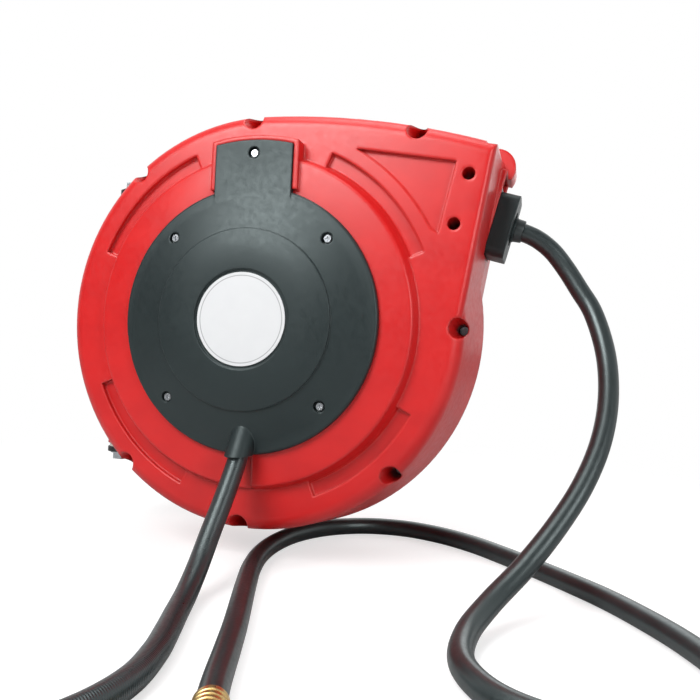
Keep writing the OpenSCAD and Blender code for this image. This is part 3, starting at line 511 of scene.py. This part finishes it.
def smooth_route(points: list, step: float, floor: float | None = None) -> list:
    """Draws a smooth curve through route points.

    Args:
        points: route points in metres.
        step: greatest distance between the curve's points.
        floor: lowest height that the curve may reach.

    Returns:
        Closely spaced points of the curve.
    """
    route = [Vector(p) for p in points]
    padded = [2 * route[0] - route[1], *route, 2 * route[-1] - route[-2]]
    curve = []
    for p0, p1, p2, p3 in zip(padded, padded[1:], padded[2:], padded[3:]):
        knots = [0.0]
        for a, b in ((p0, p1), (p1, p2), (p2, p3)):
            knots.append(knots[-1] + max((b - a).length, 1e-6) ** 0.5)
        count = max(2, math.ceil((p2 - p1).length / step))
        for i in range(count):
            t = knots[1] + (knots[2] - knots[1]) * i / count
            a1 = p0.lerp(p1, (t - knots[0]) / (knots[1] - knots[0]))
            a2 = p1.lerp(p2, (t - knots[1]) / (knots[2] - knots[1]))
            a3 = p2.lerp(p3, (t - knots[2]) / (knots[3] - knots[2]))
            b1 = a1.lerp(a2, (t - knots[0]) / (knots[2] - knots[0]))
            b2 = a2.lerp(a3, (t - knots[1]) / (knots[3] - knots[1]))
            curve.append(b1.lerp(b2, (t - knots[1]) / (knots[2] - knots[1])))
    curve.append(route[-1])
    if floor is not None:
        for p in curve:
            p.z = max(p.z, floor)
    return curve


def drum_point(x: float, y: float, z: float) -> Vector:
    """Turns drum coordinates (right, up, front) in millimetres into metres in the reel's frame."""
    return Vector((DRUM_CENTRE[0] + x, DRUM_CENTRE[1] - z, DRUM_CENTRE[2] + y)) * MM


def exit_point(distance: float) -> Vector:
    """Gives the point at a distance in millimetres along the hose's line out of the mouth."""
    return Vector(MOUTH_EXIT) + Vector(EXIT_WAY) * distance * MM


def ring_faces(rings: int, sides: int, closed: bool = False, flip: bool = False) -> list:
    """Joins rings of points into four-sided faces.

    Args:
        rings: number of rings.
        sides: number of points in each ring.
        closed: whether the last ring joins the first.
        flip: whether the faces turn the other way.

    Returns:
        The point numbers of each face.
    """
    faces = []
    for i in range(rings if closed else rings - 1):
        n = (i + 1) % rings
        for k in range(sides):
            j = (k + 1) % sides
            a, b, c, d = i * sides + k, i * sides + j, n * sides + j, n * sides + k
            faces.append((a, d, c, b) if flip else (a, b, c, d))
    return faces


def route_length(points: list) -> float:
    """Adds up the distances along a route."""
    return sum((b - a).length for a, b in zip(points, points[1:]))


@dataclass
class RoundTube:
    """A round tube along a route, with its own length and turn kept as attributes."""

    name: str
    route: list
    radius: float
    sides: int = 40
    end_round: float = 0.8 * MM

    def rings(self) -> list:
        """Places the tube's rings.

        Returns:
            For each ring its centre, radius, distance along the route and cross axes.
        """
        placed = []
        side = None
        travelled = 0.0
        last = len(self.route) - 1
        for i, p in enumerate(self.route):
            way = (self.route[min(i + 1, last)] - self.route[max(i - 1, 0)]).normalized()
            if side is None:
                side = way.orthogonal().normalized()
            side = (side - way * side.dot(way)).normalized()
            if i:
                travelled += (p - self.route[i - 1]).length
            placed.append((p, self.radius, travelled, side.copy(), way.cross(side)))
        first, final = placed[0], placed[-1]
        small = self.radius - self.end_round
        return [(first[0], small, first[2], first[3], first[4]), *placed,
                (final[0], small, final[2], final[3], final[4])]

    def piece(self, material: bpy.types.Material, body: str, slot: str) -> bpy.types.Object:
        """Builds the tube's mesh.

        Args:
            material: its finish.
            body: the body that it rides on.
            slot: the record's finish slot; not used.

        Returns:
            The tube's object.
        """
        points, along, turn = [], [], []
        rings = self.rings()
        for centre, radius, distance, a, b in rings:
            for k in range(self.sides):
                angle = 2 * math.pi * k / self.sides
                points.append(centre + radius * (math.cos(angle) * a + math.sin(angle) * b))
                along.append(distance)
                turn.append(abs(2 * k / self.sides - 1))
        faces = ring_faces(len(rings), self.sides)
        faces.append(tuple(reversed(range(self.sides))))
        faces.append(tuple(range((len(rings) - 1) * self.sides, len(rings) * self.sides)))
        made = new_piece(self.name, points, faces, material, body)
        for key, values in (("along", along), ("round", turn)):
            made.data.attributes.new(key, "FLOAT", "POINT").data.foreach_set("value", values)
        return made


@dataclass
class Turned:
    """A turned or moulded form: an outline spun round an axis."""

    name: str
    outline: list
    origin: Vector
    axis: Vector
    sides: int = 64
    sharp_angle: float = 32.0

    def piece(self, material: bpy.types.Material, body: str, slot: str) -> bpy.types.Object:
        """Builds the form; an outline's radius may be a function of the angle.

        Args:
            material: its finish.
            body: the body that it rides on.
            slot: the record's finish slot; not used.

        Returns:
            The form's object.
        """
        turn = self.axis.to_track_quat("Z", "X").to_matrix().to_4x4()
        place = Matrix.Translation(self.origin) @ turn
        points = []
        for height, radius in self.outline:
            for k in range(self.sides):
                angle = 2 * math.pi * k / self.sides
                r = radius(angle) if callable(radius) else radius
                points.append(place @ Vector((r * math.cos(angle), r * math.sin(angle), height)))
        faces = ring_faces(len(self.outline), self.sides, closed=True)
        made = new_piece(self.name, points, faces, material, body)
        made.modifiers.new("clean edges", "EDGE_SPLIT").split_angle = math.radians(self.sharp_angle)
        return made


@dataclass
class SubAssembly:
    """Pieces that belong together and take their materials from one book of finishes."""

    finishes: FinishBook


# ---------------- camera and studio


@dataclass
class ViewCamera:
    """Camera at the reel's main view."""

    place: tuple = (0.4473, -0.8375, -0.0312)
    azimuth: float = 14.5
    elevation: float = -0.7
    roll: float = 2.7
    lens: float = 36.0
    sensor: float = 36.0
    clip: tuple = (0.01, 60.0)

    def build(self) -> None:
        """Makes the camera and sets it as the scene's camera."""
        a, e, r = (math.radians(v) for v in (self.azimuth, self.elevation, self.roll))
        back = Vector((math.sin(a) * math.cos(e), -math.cos(a) * math.cos(e), math.sin(e)))
        right = Vector((math.cos(a), math.sin(a), 0.0))
        up = back.cross(right)
        turned_right = right * math.cos(r) + up * math.sin(r)
        turned_up = up * math.cos(r) - right * math.sin(r)
        data = bpy.data.cameras.new("view")
        data.lens, data.sensor_width = self.lens, self.sensor
        data.clip_start, data.clip_end = self.clip
        camera = bpy.data.objects.new("view", data)
        basis = Matrix((turned_right, turned_up, back)).transposed().to_4x4()
        camera.matrix_world = Matrix.Translation(Vector(self.place)) @ basis
        bpy.context.scene.collection.objects.link(camera)
        bpy.context.scene.camera = camera


@dataclass
class Studio:
    """Pale floor, white surroundings and soft lamps."""

    floor_height: float = -0.2312
    floor_size: float = 14.0
    floor_grey: float = 0.50
    floor_glow: float = 0.62
    white_from: float = 0.35
    white_at: float = 1.0
    reel_foot: tuple = (0.25, -0.25)
    front_level: float = 0.12
    rear_level: float = 0.80
    turnover: float = 0.35
    # name, place, aim, side, power in watts
    lamps: tuple = (
        ("key_above_front", (-0.20, -1.30, 0.85), (0.2, -0.15, 0.0), 0.9, 21.5),
        ("overhead", (0.20, -0.35, 1.50), (0.2, -0.15, 0.0), 1.0, 9.0),
        ("right", (1.35, -1.05, 0.35), (0.45, -0.20, 0.0), 0.7, 7.0),
        ("behind", (0.4, 1.5, 0.9), (0.2, 0.0, 0.0), 1.2, 6.0),
    )

    def floor(self) -> None:
        """Makes the floor: it keeps soft shadows near the reel and shows white farther off."""
        half = self.floor_size / 2
        mesh = bpy.data.meshes.new("studio_floor")
        corners = [(-half, -half), (half, -half), (half, half), (-half, half)]
        mesh.from_pydata([(x, y, self.floor_height) for x, y in corners], [], [(0, 1, 2, 3)])
        material = bpy.data.materials.new("studio floor")
        sheet = NodeSheet(material)
        seen = sheet.node("ShaderNodeLightPath").outputs["Is Camera Ray"]
        diffuse, glow = sheet.node("ShaderNodeBsdfDiffuse"), sheet.node("ShaderNodeEmission")
        diffuse.inputs["Color"].default_value = (*[self.floor_grey] * 3, 1.0)
        sheet.link(sheet.math("MULTIPLY", seen, self.floor_glow), glow.inputs["Strength"])
        near = sheet.node("ShaderNodeAddShader")
        sheet.link(diffuse.outputs["BSDF"], near.inputs[0])
        sheet.link(glow.outputs["Emission"], near.inputs[1])
        away = sheet.node("ShaderNodeVectorMath", operation="DISTANCE")
        away.inputs[1].default_value = (*self.reel_foot, self.floor_height)
        sheet.link(sheet.node("ShaderNodeNewGeometry").outputs["Position"], away.inputs[0])
        far = sheet.spread(away.outputs["Value"], 0.0, 1.0, self.white_from, self.white_at)
        mixed = sheet.node("ShaderNodeMixShader")
        sheet.link(sheet.math("MULTIPLY", far, seen), mixed.inputs["Fac"])
        sheet.link(near.outputs["Shader"], mixed.inputs[1])
        sheet.link(sheet.node("ShaderNodeEmission").outputs["Emission"], mixed.inputs[2])
        output = sheet.node("ShaderNodeOutputMaterial")
        sheet.link(mixed.outputs["Shader"], output.inputs["Surface"])
        mesh.materials.append(material)
        floor = bpy.data.objects.new("studio_floor", mesh)
        bpy.context.scene.collection.objects.link(floor)

    def surroundings(self) -> None:
        """Sets the world: white where it is seen, and as a light bright behind and dim in front."""
        world = bpy.data.worlds.new("studio")
        bpy.context.scene.world = world
        sheet = NodeSheet(world)
        back = sheet.node("ShaderNodeBackground")
        back.inputs["Color"].default_value = (1.0, 1.0, 1.0, 1.0)
        ray = sheet.node("ShaderNodeLightPath").outputs
        shown = sheet.math("MAXIMUM", ray["Is Camera Ray"], ray["Is Transmission Ray"])
        way = sheet.node("ShaderNodeSeparateXYZ")
        sheet.link(sheet.node("ShaderNodeTexCoord").outputs["Generated"], way.inputs["Vector"])
        light = sheet.spread(way.outputs["Y"], self.front_level, self.rear_level,
                             -self.turnover, self.turnover)
        level = sheet.node("ShaderNodeMapRange")
        level.inputs["To Max"].default_value = 1.0
        sheet.link(light, level.inputs["To Min"])
        sheet.link(shown, level.inputs["Value"])
        sheet.link(level.outputs["Result"], back.inputs["Strength"])
        output = sheet.node("ShaderNodeOutputWorld")
        sheet.link(back.outputs["Background"], output.inputs["Surface"])

    def lights(self) -> None:
        """Places the soft lamps."""
        for name, place, aim, side, power in self.lamps:
            data = bpy.data.lights.new(name, "AREA")
            data.shape, data.size, data.energy = "DISK", side, power
            lamp = bpy.data.objects.new(name, data)
            lamp.location = place
            lamp.rotation_mode = "QUATERNION"
            lamp.rotation_quaternion = (Vector(aim) - Vector(place)).to_track_quat("-Z", "Y")
            bpy.context.scene.collection.objects.link(lamp)

    def build(self) -> None:
        """Builds floor, surroundings and lamps."""
        bpy.context.scene.view_settings.view_transform = "Standard"
        self.floor()
        self.surroundings()
        self.lights()


# ---------------- hoses


@dataclass
class HoseEnd(SubAssembly):
    """Brass end fitting: crimped ferrule, hexagon with turned corners and a cut male thread."""

    name: str
    node: str
    ferrule: float = 25.0
    ferrule_bore: float = 9.05
    crimps: tuple = (4.0, 9.0, 14.0, 19.0)
    crimp_depth: float = 0.55
    hexagon: float = 11.0
    hexagon_corner: float = 1.1
    thread: float = 14.0
    outer: float = 10.6
    across: float = 12.7
    neck: tuple = (1.2, 9.0)
    thread_radius: float = 10.48
    thread_depth: float = 1.1
    bore: float = 5.5
    bore_start: float = 12.0
    pitch: float = 1.81
    grip: float = 22.0

    def hexagon_radius(self, limit: float) -> Callable:
        """Gives the hexagon's radius by angle, with its corners cut off at a turned radius.

        Args:
            limit: the turned radius in millimetres.

        Returns:
            A function from an angle to a radius in metres.
        """
        flat = self.across * math.cos(math.pi / 6)

        def radius(angle: float) -> float:
            """Gives the radius at an angle, in metres."""
            part = ((angle + math.pi / 6) % (math.pi / 3)) - math.pi / 6
            return min(flat / math.cos(part), limit) * MM
        return radius

    def outline(self) -> list:
        """Draws the half section, from the ferrule's mouth to the thread's end and back down the bore.

        Returns:
            Height and radius of each outline point, in metres.
        """
        points = [(0.0, self.ferrule_bore), (0.0, self.outer - 0.4), (0.4, self.outer)]
        low = self.outer - self.crimp_depth
        for z in self.crimps:
            points += [(z, self.outer), (z + 0.6, low), (z + 2.2, low), (z + 2.8, self.outer)]
        base, top = self.ferrule, self.ferrule + self.hexagon
        turned, whole = self.hexagon_radius(self.across * 0.90), self.hexagon_radius(self.across)
        points += [(base, self.outer), (base, turned), (base + self.hexagon_corner, whole),
                   (top - self.hexagon_corner, whole), (top, turned)]
        length, radius = self.neck
        z, end = top + length, top + self.thread
        points += [(top, radius), (z, radius)]
        root = self.thread_radius - self.thread_depth
        while z + self.pitch < end - 0.6:
            points += [(z, root), (z + self.pitch * 0.45, self.thread_radius),
                       (z + self.pitch * 0.55, self.thread_radius)]
            z += self.pitch
        points += [(z, root), (end, root - 0.3), (end, self.bore + 0.6), (end - 0.6, self.bore),
                   (self.bore_start, self.bore), (self.bore_start, self.ferrule_bore)]
        return [(z * MM, r if callable(r) else r * MM) for z, r in points]

    def build(self, route: list) -> bpy.types.Object:
        """Sets the fitting on the end of a hose.

        Args:
            route: the hose's route points; the last two give its direction.

        Returns:
            The fitting's object.
        """
        way = (route[-1] - route[-2]).normalized()
        made = Turned(self.name, self.outline(), route[-1] - way * self.grip * MM, way, 72).piece(
            self.finishes.get("brass"), "housing", "brass")
        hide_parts(self.node)
        return made


@dataclass
class DeliveryHose(SubAssembly):
    """Black rubber delivery hose from the mouth guide down to the floor and round below the reel."""

    diameter: float = 18 * MM
    length: float = 1.80
    floor: float = -0.222
    run_in: tuple = (-60.0, 0.0, 22.0)
    route_mm: tuple = (
        (446, -125.7, 96.5), (462, -125.2, 84.5), (475, -125.5, 68.5), (490, -129, 45), (502, -134, 25),
        (514, -150, -15), (516, -171, -55), (509, -195, -93), (494, -219, -128), (473, -243, -160),
        (449, -270, -188), (426, -302, -208), (412, -341, -219), (414, -386, -222), (438, -424, -222),
        (477, -442, -222), (519, -440, -222), (555, -418, -222), (575, -379, -222), (576, -335, -222),
        (562, -292, -222), (541, -251, -222), (517, -213, -222), (489, -178, -222), (459, -144, -222),
        (428, -111, -222), (395, -80, -222), (357, -56, -222), (315, -44, -222), (272, -51, -222),
        (236, -77, -222), (213, -116, -222), (204, -160, -222), (205, -205, -222), (214, -250, -222),
        (227, -293, -222), (241, -336, -222), (255, -379, -222), (268, -422, -221.8), (281, -465, -221),
        (296, -508, -220),
    )

    def route(self) -> list:
        """Lists the hose's route points in metres, inside the mouth first."""
        return [exit_point(s) for s in self.run_in] + [Vector(p) * MM for p in self.route_mm]

    def build(self) -> None:
        curve = smooth_route(self.route(), HOSE_STEP, self.floor)
        hose = RoundTube("delivery_hose", curve, self.diameter / 2, 48).piece(
            self.finishes.get("hose_rubber"), "housing", "hose_rubber")
        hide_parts("hose_tail")
        fitting = HoseEnd(self.finishes, "delivery_hose_fitting", "tail_fitting").build(self.route())
        LOG.info("delivery hose %.3f m", route_length(curve))


@dataclass
class LeadInHose(SubAssembly):
    """Cloth-cured lead-in hose from the swivel elbow, out under the cover and down to the floor."""

    diameter: float = 18 * MM
    length: float = 0.65
    floor: float = -0.222
    route_mm: tuple = (
        (190, -214, -35), (190, -214, -52), (190.8, -215.8, -74), (192.7, -223.2, -96),
        (192.7, -233.6, -112), (192.7, -245.2, -130), (191, -266, -160), (189.5, -286, -185),
        (191, -309, -206), (196, -336, -218), (204, -366, -222), (215, -400, -222), (226, -437, -222),
        (232, -476, -222), (226, -515, -222), (208, -549, -222), (179, -574, -222), (143, -588, -222),
        (104, -588, -221.8), (66, -577, -221), (33, -556, -220),
    )

    def route(self) -> list:
        """Lists the hose's route points in metres, at the elbow first."""
        return [Vector(p) * MM for p in self.route_mm]

    def build(self) -> None:
        curve = smooth_route(self.route(), HOSE_STEP, self.floor)
        hose = RoundTube("lead_in_hose", curve, self.diameter / 2, 48).piece(
            self.finishes.get("lead_rubber"), "housing", "hose_rubber")
        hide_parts("lead_hose")
        fitting = HoseEnd(self.finishes, "lead_in_hose_fitting", "lead_fitting").build(self.route())
        LOG.info("lead-in hose %.3f m", route_length(curve))


# ---------------- drum


@dataclass
class WoundHose(SubAssembly):
    """The hose on the drum: the outer layer in side-by-side loops, and the layers below it."""

    hose_radius: float = 9.0
    outer_radius: float = 137.4
    pitch: float = 18.7
    loops: int = 4
    start_angle: float = 83.9
    start_z: float = -37.5
    lower_radii: tuple = (87.3, 103.2, 118.9)
    lower_half: float = 38.2
    climb_angle: float = 40.0
    turn_steps: int = 48
    nipple_radius: float = 38.0
    nipple_front: float = 23.0
    nipple_gap: float = 0.3
    core_radius: float = 78.0
    hose_bore: float = 6.25
    end_round: float = 0.5
    run_off: tuple = (7.5, 0.4)
    run_to_mouth: tuple = ((75, 134.5, 33), (108, 131.5, 19.5), (124, 129.6, 11), (140, 127.5, 3.5),
                           (152.26, 124.97, 0), (158.08, 123.52, 0))

    def on_drum(self, angle: float, radius: float, z: float) -> Vector:
        """Gives the point at an angle in degrees, a radius and a width place on the drum."""
        a = math.radians(angle)
        return drum_point(radius * math.cos(a), radius * math.sin(a), z)

    def outer(self) -> None:
        """Builds the outer layer, with a straight hose diameter at each end."""
        steps = self.turn_steps
        route = []
        for i in range(self.loops * steps + 1):
            route.append(self.on_drum(self.start_angle - 360 * i / steps, self.outer_radius,
                                      self.start_z + self.pitch * i / steps))
        first, last = (route[0] - route[1]).normalized(), (route[-1] - route[-2]).normalized()
        half = self.hose_radius * MM
        route = [route[0] + first * 2 * half, route[0] + first * half, *route,
                 route[-1] + last * half, route[-1] + last * 2 * half]
        made = RoundTube("wound_hose_outer_layer", route, half, 32).piece(
            self.finishes.get("hose_rubber"), "drum", "hose_rubber")
        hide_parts("outer_winding")

    def lower(self) -> None:
        """Builds the lower layers as one tube that climbs at the flanges."""
        route = []
        angle, side = 90.0, -1.0
        for radius in self.lower_radii:
            turns = 2 * self.lower_half / self.pitch
            steps = int(turns * self.turn_steps)
            for i in range(steps + 1):
                route.append(self.on_drum(angle - 360 * turns * i / steps, radius,
                                          side * self.lower_half * (1 - 2 * i / steps)))
            angle -= 360 * turns + self.climb_angle
            side = -side
        made = RoundTube("wound_hose_lower_layers", smooth_route(route, 3 * HOSE_STEP), self.hose_radius * MM,
                         28).piece(self.finishes.get("hose_rubber"), "drum", "hose_rubber")
        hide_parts("inner_winding")

    def inner_end(self) -> None:
        """Builds the short length of hose from the nipple out to the lowest layer."""
        r, bore, soft = self.hose_radius, self.hose_bore, self.end_round
        reach = self.core_radius - self.nipple_radius - self.nipple_gap
        outline = [(0.0, bore + soft), (0.0, r - soft), (soft, r), (reach - soft, r), (reach, r - soft),
                   (reach, bore + soft), (reach - soft, bore), (soft, bore)]
        made = Turned("hose_into_drum_core", [(z * MM, r * MM) for z, r in outline],
                      drum_point(0, self.nipple_radius, self.nipple_front), Vector(UP), 48).piece(
            self.finishes.get("hose_rubber"), "drum", "hose_rubber")
        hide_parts("inner_hose_end")

    def span(self) -> None:
        """Builds the hose between the drum and the mouth guide."""
        end = self.start_angle - 360 * self.loops
        z = self.start_z + self.pitch * self.loops
        back, rise = self.run_off
        before = self.on_drum(end + back, self.outer_radius, z - rise)
        off = self.on_drum(end, self.outer_radius, z)
        route = [off + (off - before).normalized() * 2 * self.hose_radius * MM]
        route += [drum_point(*p) for p in self.run_to_mouth]
        made = RoundTube("hose_to_mouth", smooth_route(route, HOSE_STEP), self.hose_radius * MM, 40).piece(
            self.finishes.get("hose_rubber"), "housing", "hose_rubber")
        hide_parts("hose_span")

    def build(self) -> None:
        """Builds all the hose on the drum and its way to the mouth."""
        self.outer()
        self.lower()
        self.inner_end()
        self.span()


@dataclass
class PowerSpring(SubAssembly):
    """Flat spiral spring between the fixed arbor and the drum core."""

    inner: float = 12.7
    outer: float = 61.6
    turns: float = 15.0
    thick: float = 1.3
    near: float = 8.0
    width: float = 34.0
    soft: float = 0.25
    turn_steps: int = 40
    sharp_angle: float = 35.0

    def spiral(self, offset: float) -> list:
        """Lists points of the strip's face.

        Args:
            offset: distance from the strip's inner face, in millimetres.

        Returns:
            Across and up places on the drum, in millimetres.
        """
        steps = int(self.turns * self.turn_steps)
        points = []
        for i in range(steps + 1):
            share = i / steps
            r = self.inner + offset + (self.outer - self.inner - self.thick) * share
            a = 2 * math.pi * self.turns * share
            points.append((r * math.cos(a), r * math.sin(a)))
        return points

    def build(self) -> None:
        """Builds the strip with its rounded edges."""
        soft, points = self.soft, []
        rows = [(0.0, soft), (0.0, 1 - soft), (soft, 1.0), (1 - soft, 1.0), (1.0, 1 - soft),
                (1.0, soft), (1 - soft, 0.0), (soft, 0.0)]
        lines = [self.spiral(across * self.thick) for across, _ in rows]
        steps, n = len(lines[0]), len(rows)
        for i in range(steps):
            for (_, deep), line in zip(rows, lines):
                x, y = line[i]
                z = self.near + (self.width if deep > 0.5 else 0.0)
                z += (soft if deep < 0.5 else -soft) * (1 if deep not in (0.0, 1.0) else 0)
                points.append(drum_point(x, y, -z))
        faces = ring_faces(steps, n, flip=True)
        faces.append(tuple(range(n)))
        faces.append(tuple(reversed(range((steps - 1) * n, steps * n))))
        made = new_piece("power_spring_strip", points, faces, self.finishes.get("spring_steel"), "drum")
        made.modifiers.new("clean edges", "EDGE_SPLIT").split_angle = math.radians(self.sharp_angle)
        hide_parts("power_spring")


@dataclass
class SoftRings(SubAssembly):
    """Shaft seals in the water joint and the tapered bend sleeve at the hose stopper."""

    seal_heights: tuple = (80.9, 84.9)
    seal_radius: float = 9.6
    seal_section: float = 1.0
    sleeve_start: float = 21.5
    sleeve_outline: tuple = ((0.0, 9.3), (0.0, 11.3), (0.4, 11.6), (7.1, 11.0), (7.7, 10.8),
                             (8.0, 10.3), (8.0, 9.8), (7.6, 9.4))

    def seals(self) -> None:
        """Builds the two seals, round in section, as one piece."""
        points, faces, around, section = [], [], 64, 16
        for height in self.seal_heights:
            base = len(points)
            for i in range(around):
                a = 2 * math.pi * i / around
                for k in range(section):
                    b = 2 * math.pi * k / section
                    r = self.seal_radius + self.seal_section * math.cos(b)
                    points.append(drum_point(r * math.cos(a), r * math.sin(a),
                                             height + self.seal_section * math.sin(b)))
            faces += [tuple(base + v for v in face)
                      for face in ring_faces(around, section, closed=True, flip=True)]
        made = new_piece("shaft_seals", points, faces, self.finishes.get("soft_rubber"), "drum")
        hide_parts("axle_seals")

    def sleeve(self) -> None:
        """Builds the bend sleeve: a tapered rubber collar with soft edges."""
        outline = [(z * MM, r * MM) for z, r in self.sleeve_outline]
        made = Turned("bend_sleeve_tapered", outline, exit_point(self.sleeve_start), Vector(EXIT_WAY),
                      64).piece(self.finishes.get("soft_rubber"), "housing", "soft_rubber")
        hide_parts("bend_sleeve")

    def build(self) -> None:
        """Builds seals and sleeve."""
        self.seals()
        self.sleeve()


# ---------------- rigid parts


@dataclass
class RigidParts(SubAssembly):
    """The moulded, turned and folded parts, which keep their own solids and get their finish here."""

    nodes: dict
    smooth_angle: float = 28.0
    weld_distance: float = 2e-6
    by_slot: dict = field(default_factory=lambda: {
        "shell_red": ("front_shell", "rear_shell"),
        "cover_black": ("front_cover", "rear_cover", "mouth_frame", "stopper_front", "stopper_rear"),
        "bracket_black": ("wall_bracket",),
        "label_white": ("label_disc",),
        "zinc_steel": ("housing_screws", "cover_screws", "rear_cover_screws", "elbow_screw",
                       "lead_ferrule", "arbor_screws", "roller_pins", "side_roller_pins",
                       "stopper_screws", "flange_screws", "ring_screws", "nipple_clamp",
                       "upper_pivot_bolt", "lower_pivot_bolt", "spring_arbor", "pawl_pin", "pawl"),
        "brass": ("swivel_elbow", "axle_tube", "hose_nipple"),
        "nylon": ("upper_pivot_bush", "lower_pivot_bush", "front_bush", "drum_bush"),
        "drum_black": ("drum_core", "front_flange", "rear_flange", "spring_case_lid"),
        "roller_grey": ("upper_roller", "lower_roller", "front_side_roller", "rear_side_roller",
                        "ratchet_ring"),
    })

    def smoothing(self) -> bpy.types.NodeTree:
        """Makes the shading modifier's nodes: doubled points joined, edges kept sharp above the angle.

        Returns:
            The node group.
        """
        group = bpy.data.node_groups.new("shade by angle", "GeometryNodeTree")
        group.interface.new_socket("Geometry", in_out="INPUT", socket_type="NodeSocketGeometry")
        group.interface.new_socket("Geometry", in_out="OUTPUT", socket_type="NodeSocketGeometry")
        add, link = group.nodes.new, group.links.new
        start, end = add("NodeGroupInput"), add("NodeGroupOutput")
        weld = add("GeometryNodeMergeByDistance")
        weld.inputs["Distance"].default_value = self.weld_distance
        faces, edges = add("GeometryNodeSetShadeSmooth"), add("GeometryNodeSetShadeSmooth")
        faces.domain, edges.domain = "FACE", "EDGE"
        angle, blunt = add("GeometryNodeInputMeshEdgeAngle"), add("FunctionNodeCompare")
        blunt.operation = "LESS_THAN"
        blunt.inputs["B"].default_value = math.radians(self.smooth_angle)
        link(start.outputs[0], weld.inputs["Geometry"])
        link(weld.outputs["Geometry"], faces.inputs["Geometry"])
        link(faces.outputs["Geometry"], edges.inputs["Geometry"])
        link(angle.outputs["Unsigned Angle"], blunt.inputs["A"])
        link(blunt.outputs["Result"], edges.inputs["Shade Smooth"])
        link(edges.outputs["Geometry"], end.inputs[0])
        return group

    def build(self) -> None:
        """Dresses every rigid part."""
        group = self.smoothing()
        for slot, names in self.by_slot.items():
            for name in names:
                part = self.nodes[name]
                part.data.materials.clear()
                part.data.materials.append(self.finishes.get(slot))
                if "custom_normal" in part.data.attributes:
                    part.data.attributes.remove(part.data.attributes["custom_normal"])
                part.modifiers.new("shade by angle", "NODES").node_group = group
            LOG.info("%s: %d parts", slot, len(names))


def main() -> None:
    """Builds the dressed reel in order."""
    logging.basicConfig(level=logging.INFO, format="%(name)s: %(message)s")
    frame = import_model()
    finishes = FinishBook()
    ViewCamera().build()
    for assembly in (DeliveryHose(finishes), LeadInHose(finishes), WoundHose(finishes),
                     PowerSpring(finishes), SoftRings(finishes), RigidParts(finishes, frame["nodes"])):
        assembly.build()
    Studio().build()
    LOG.info("all pieces built")


if __name__ == "__main__":
    main()
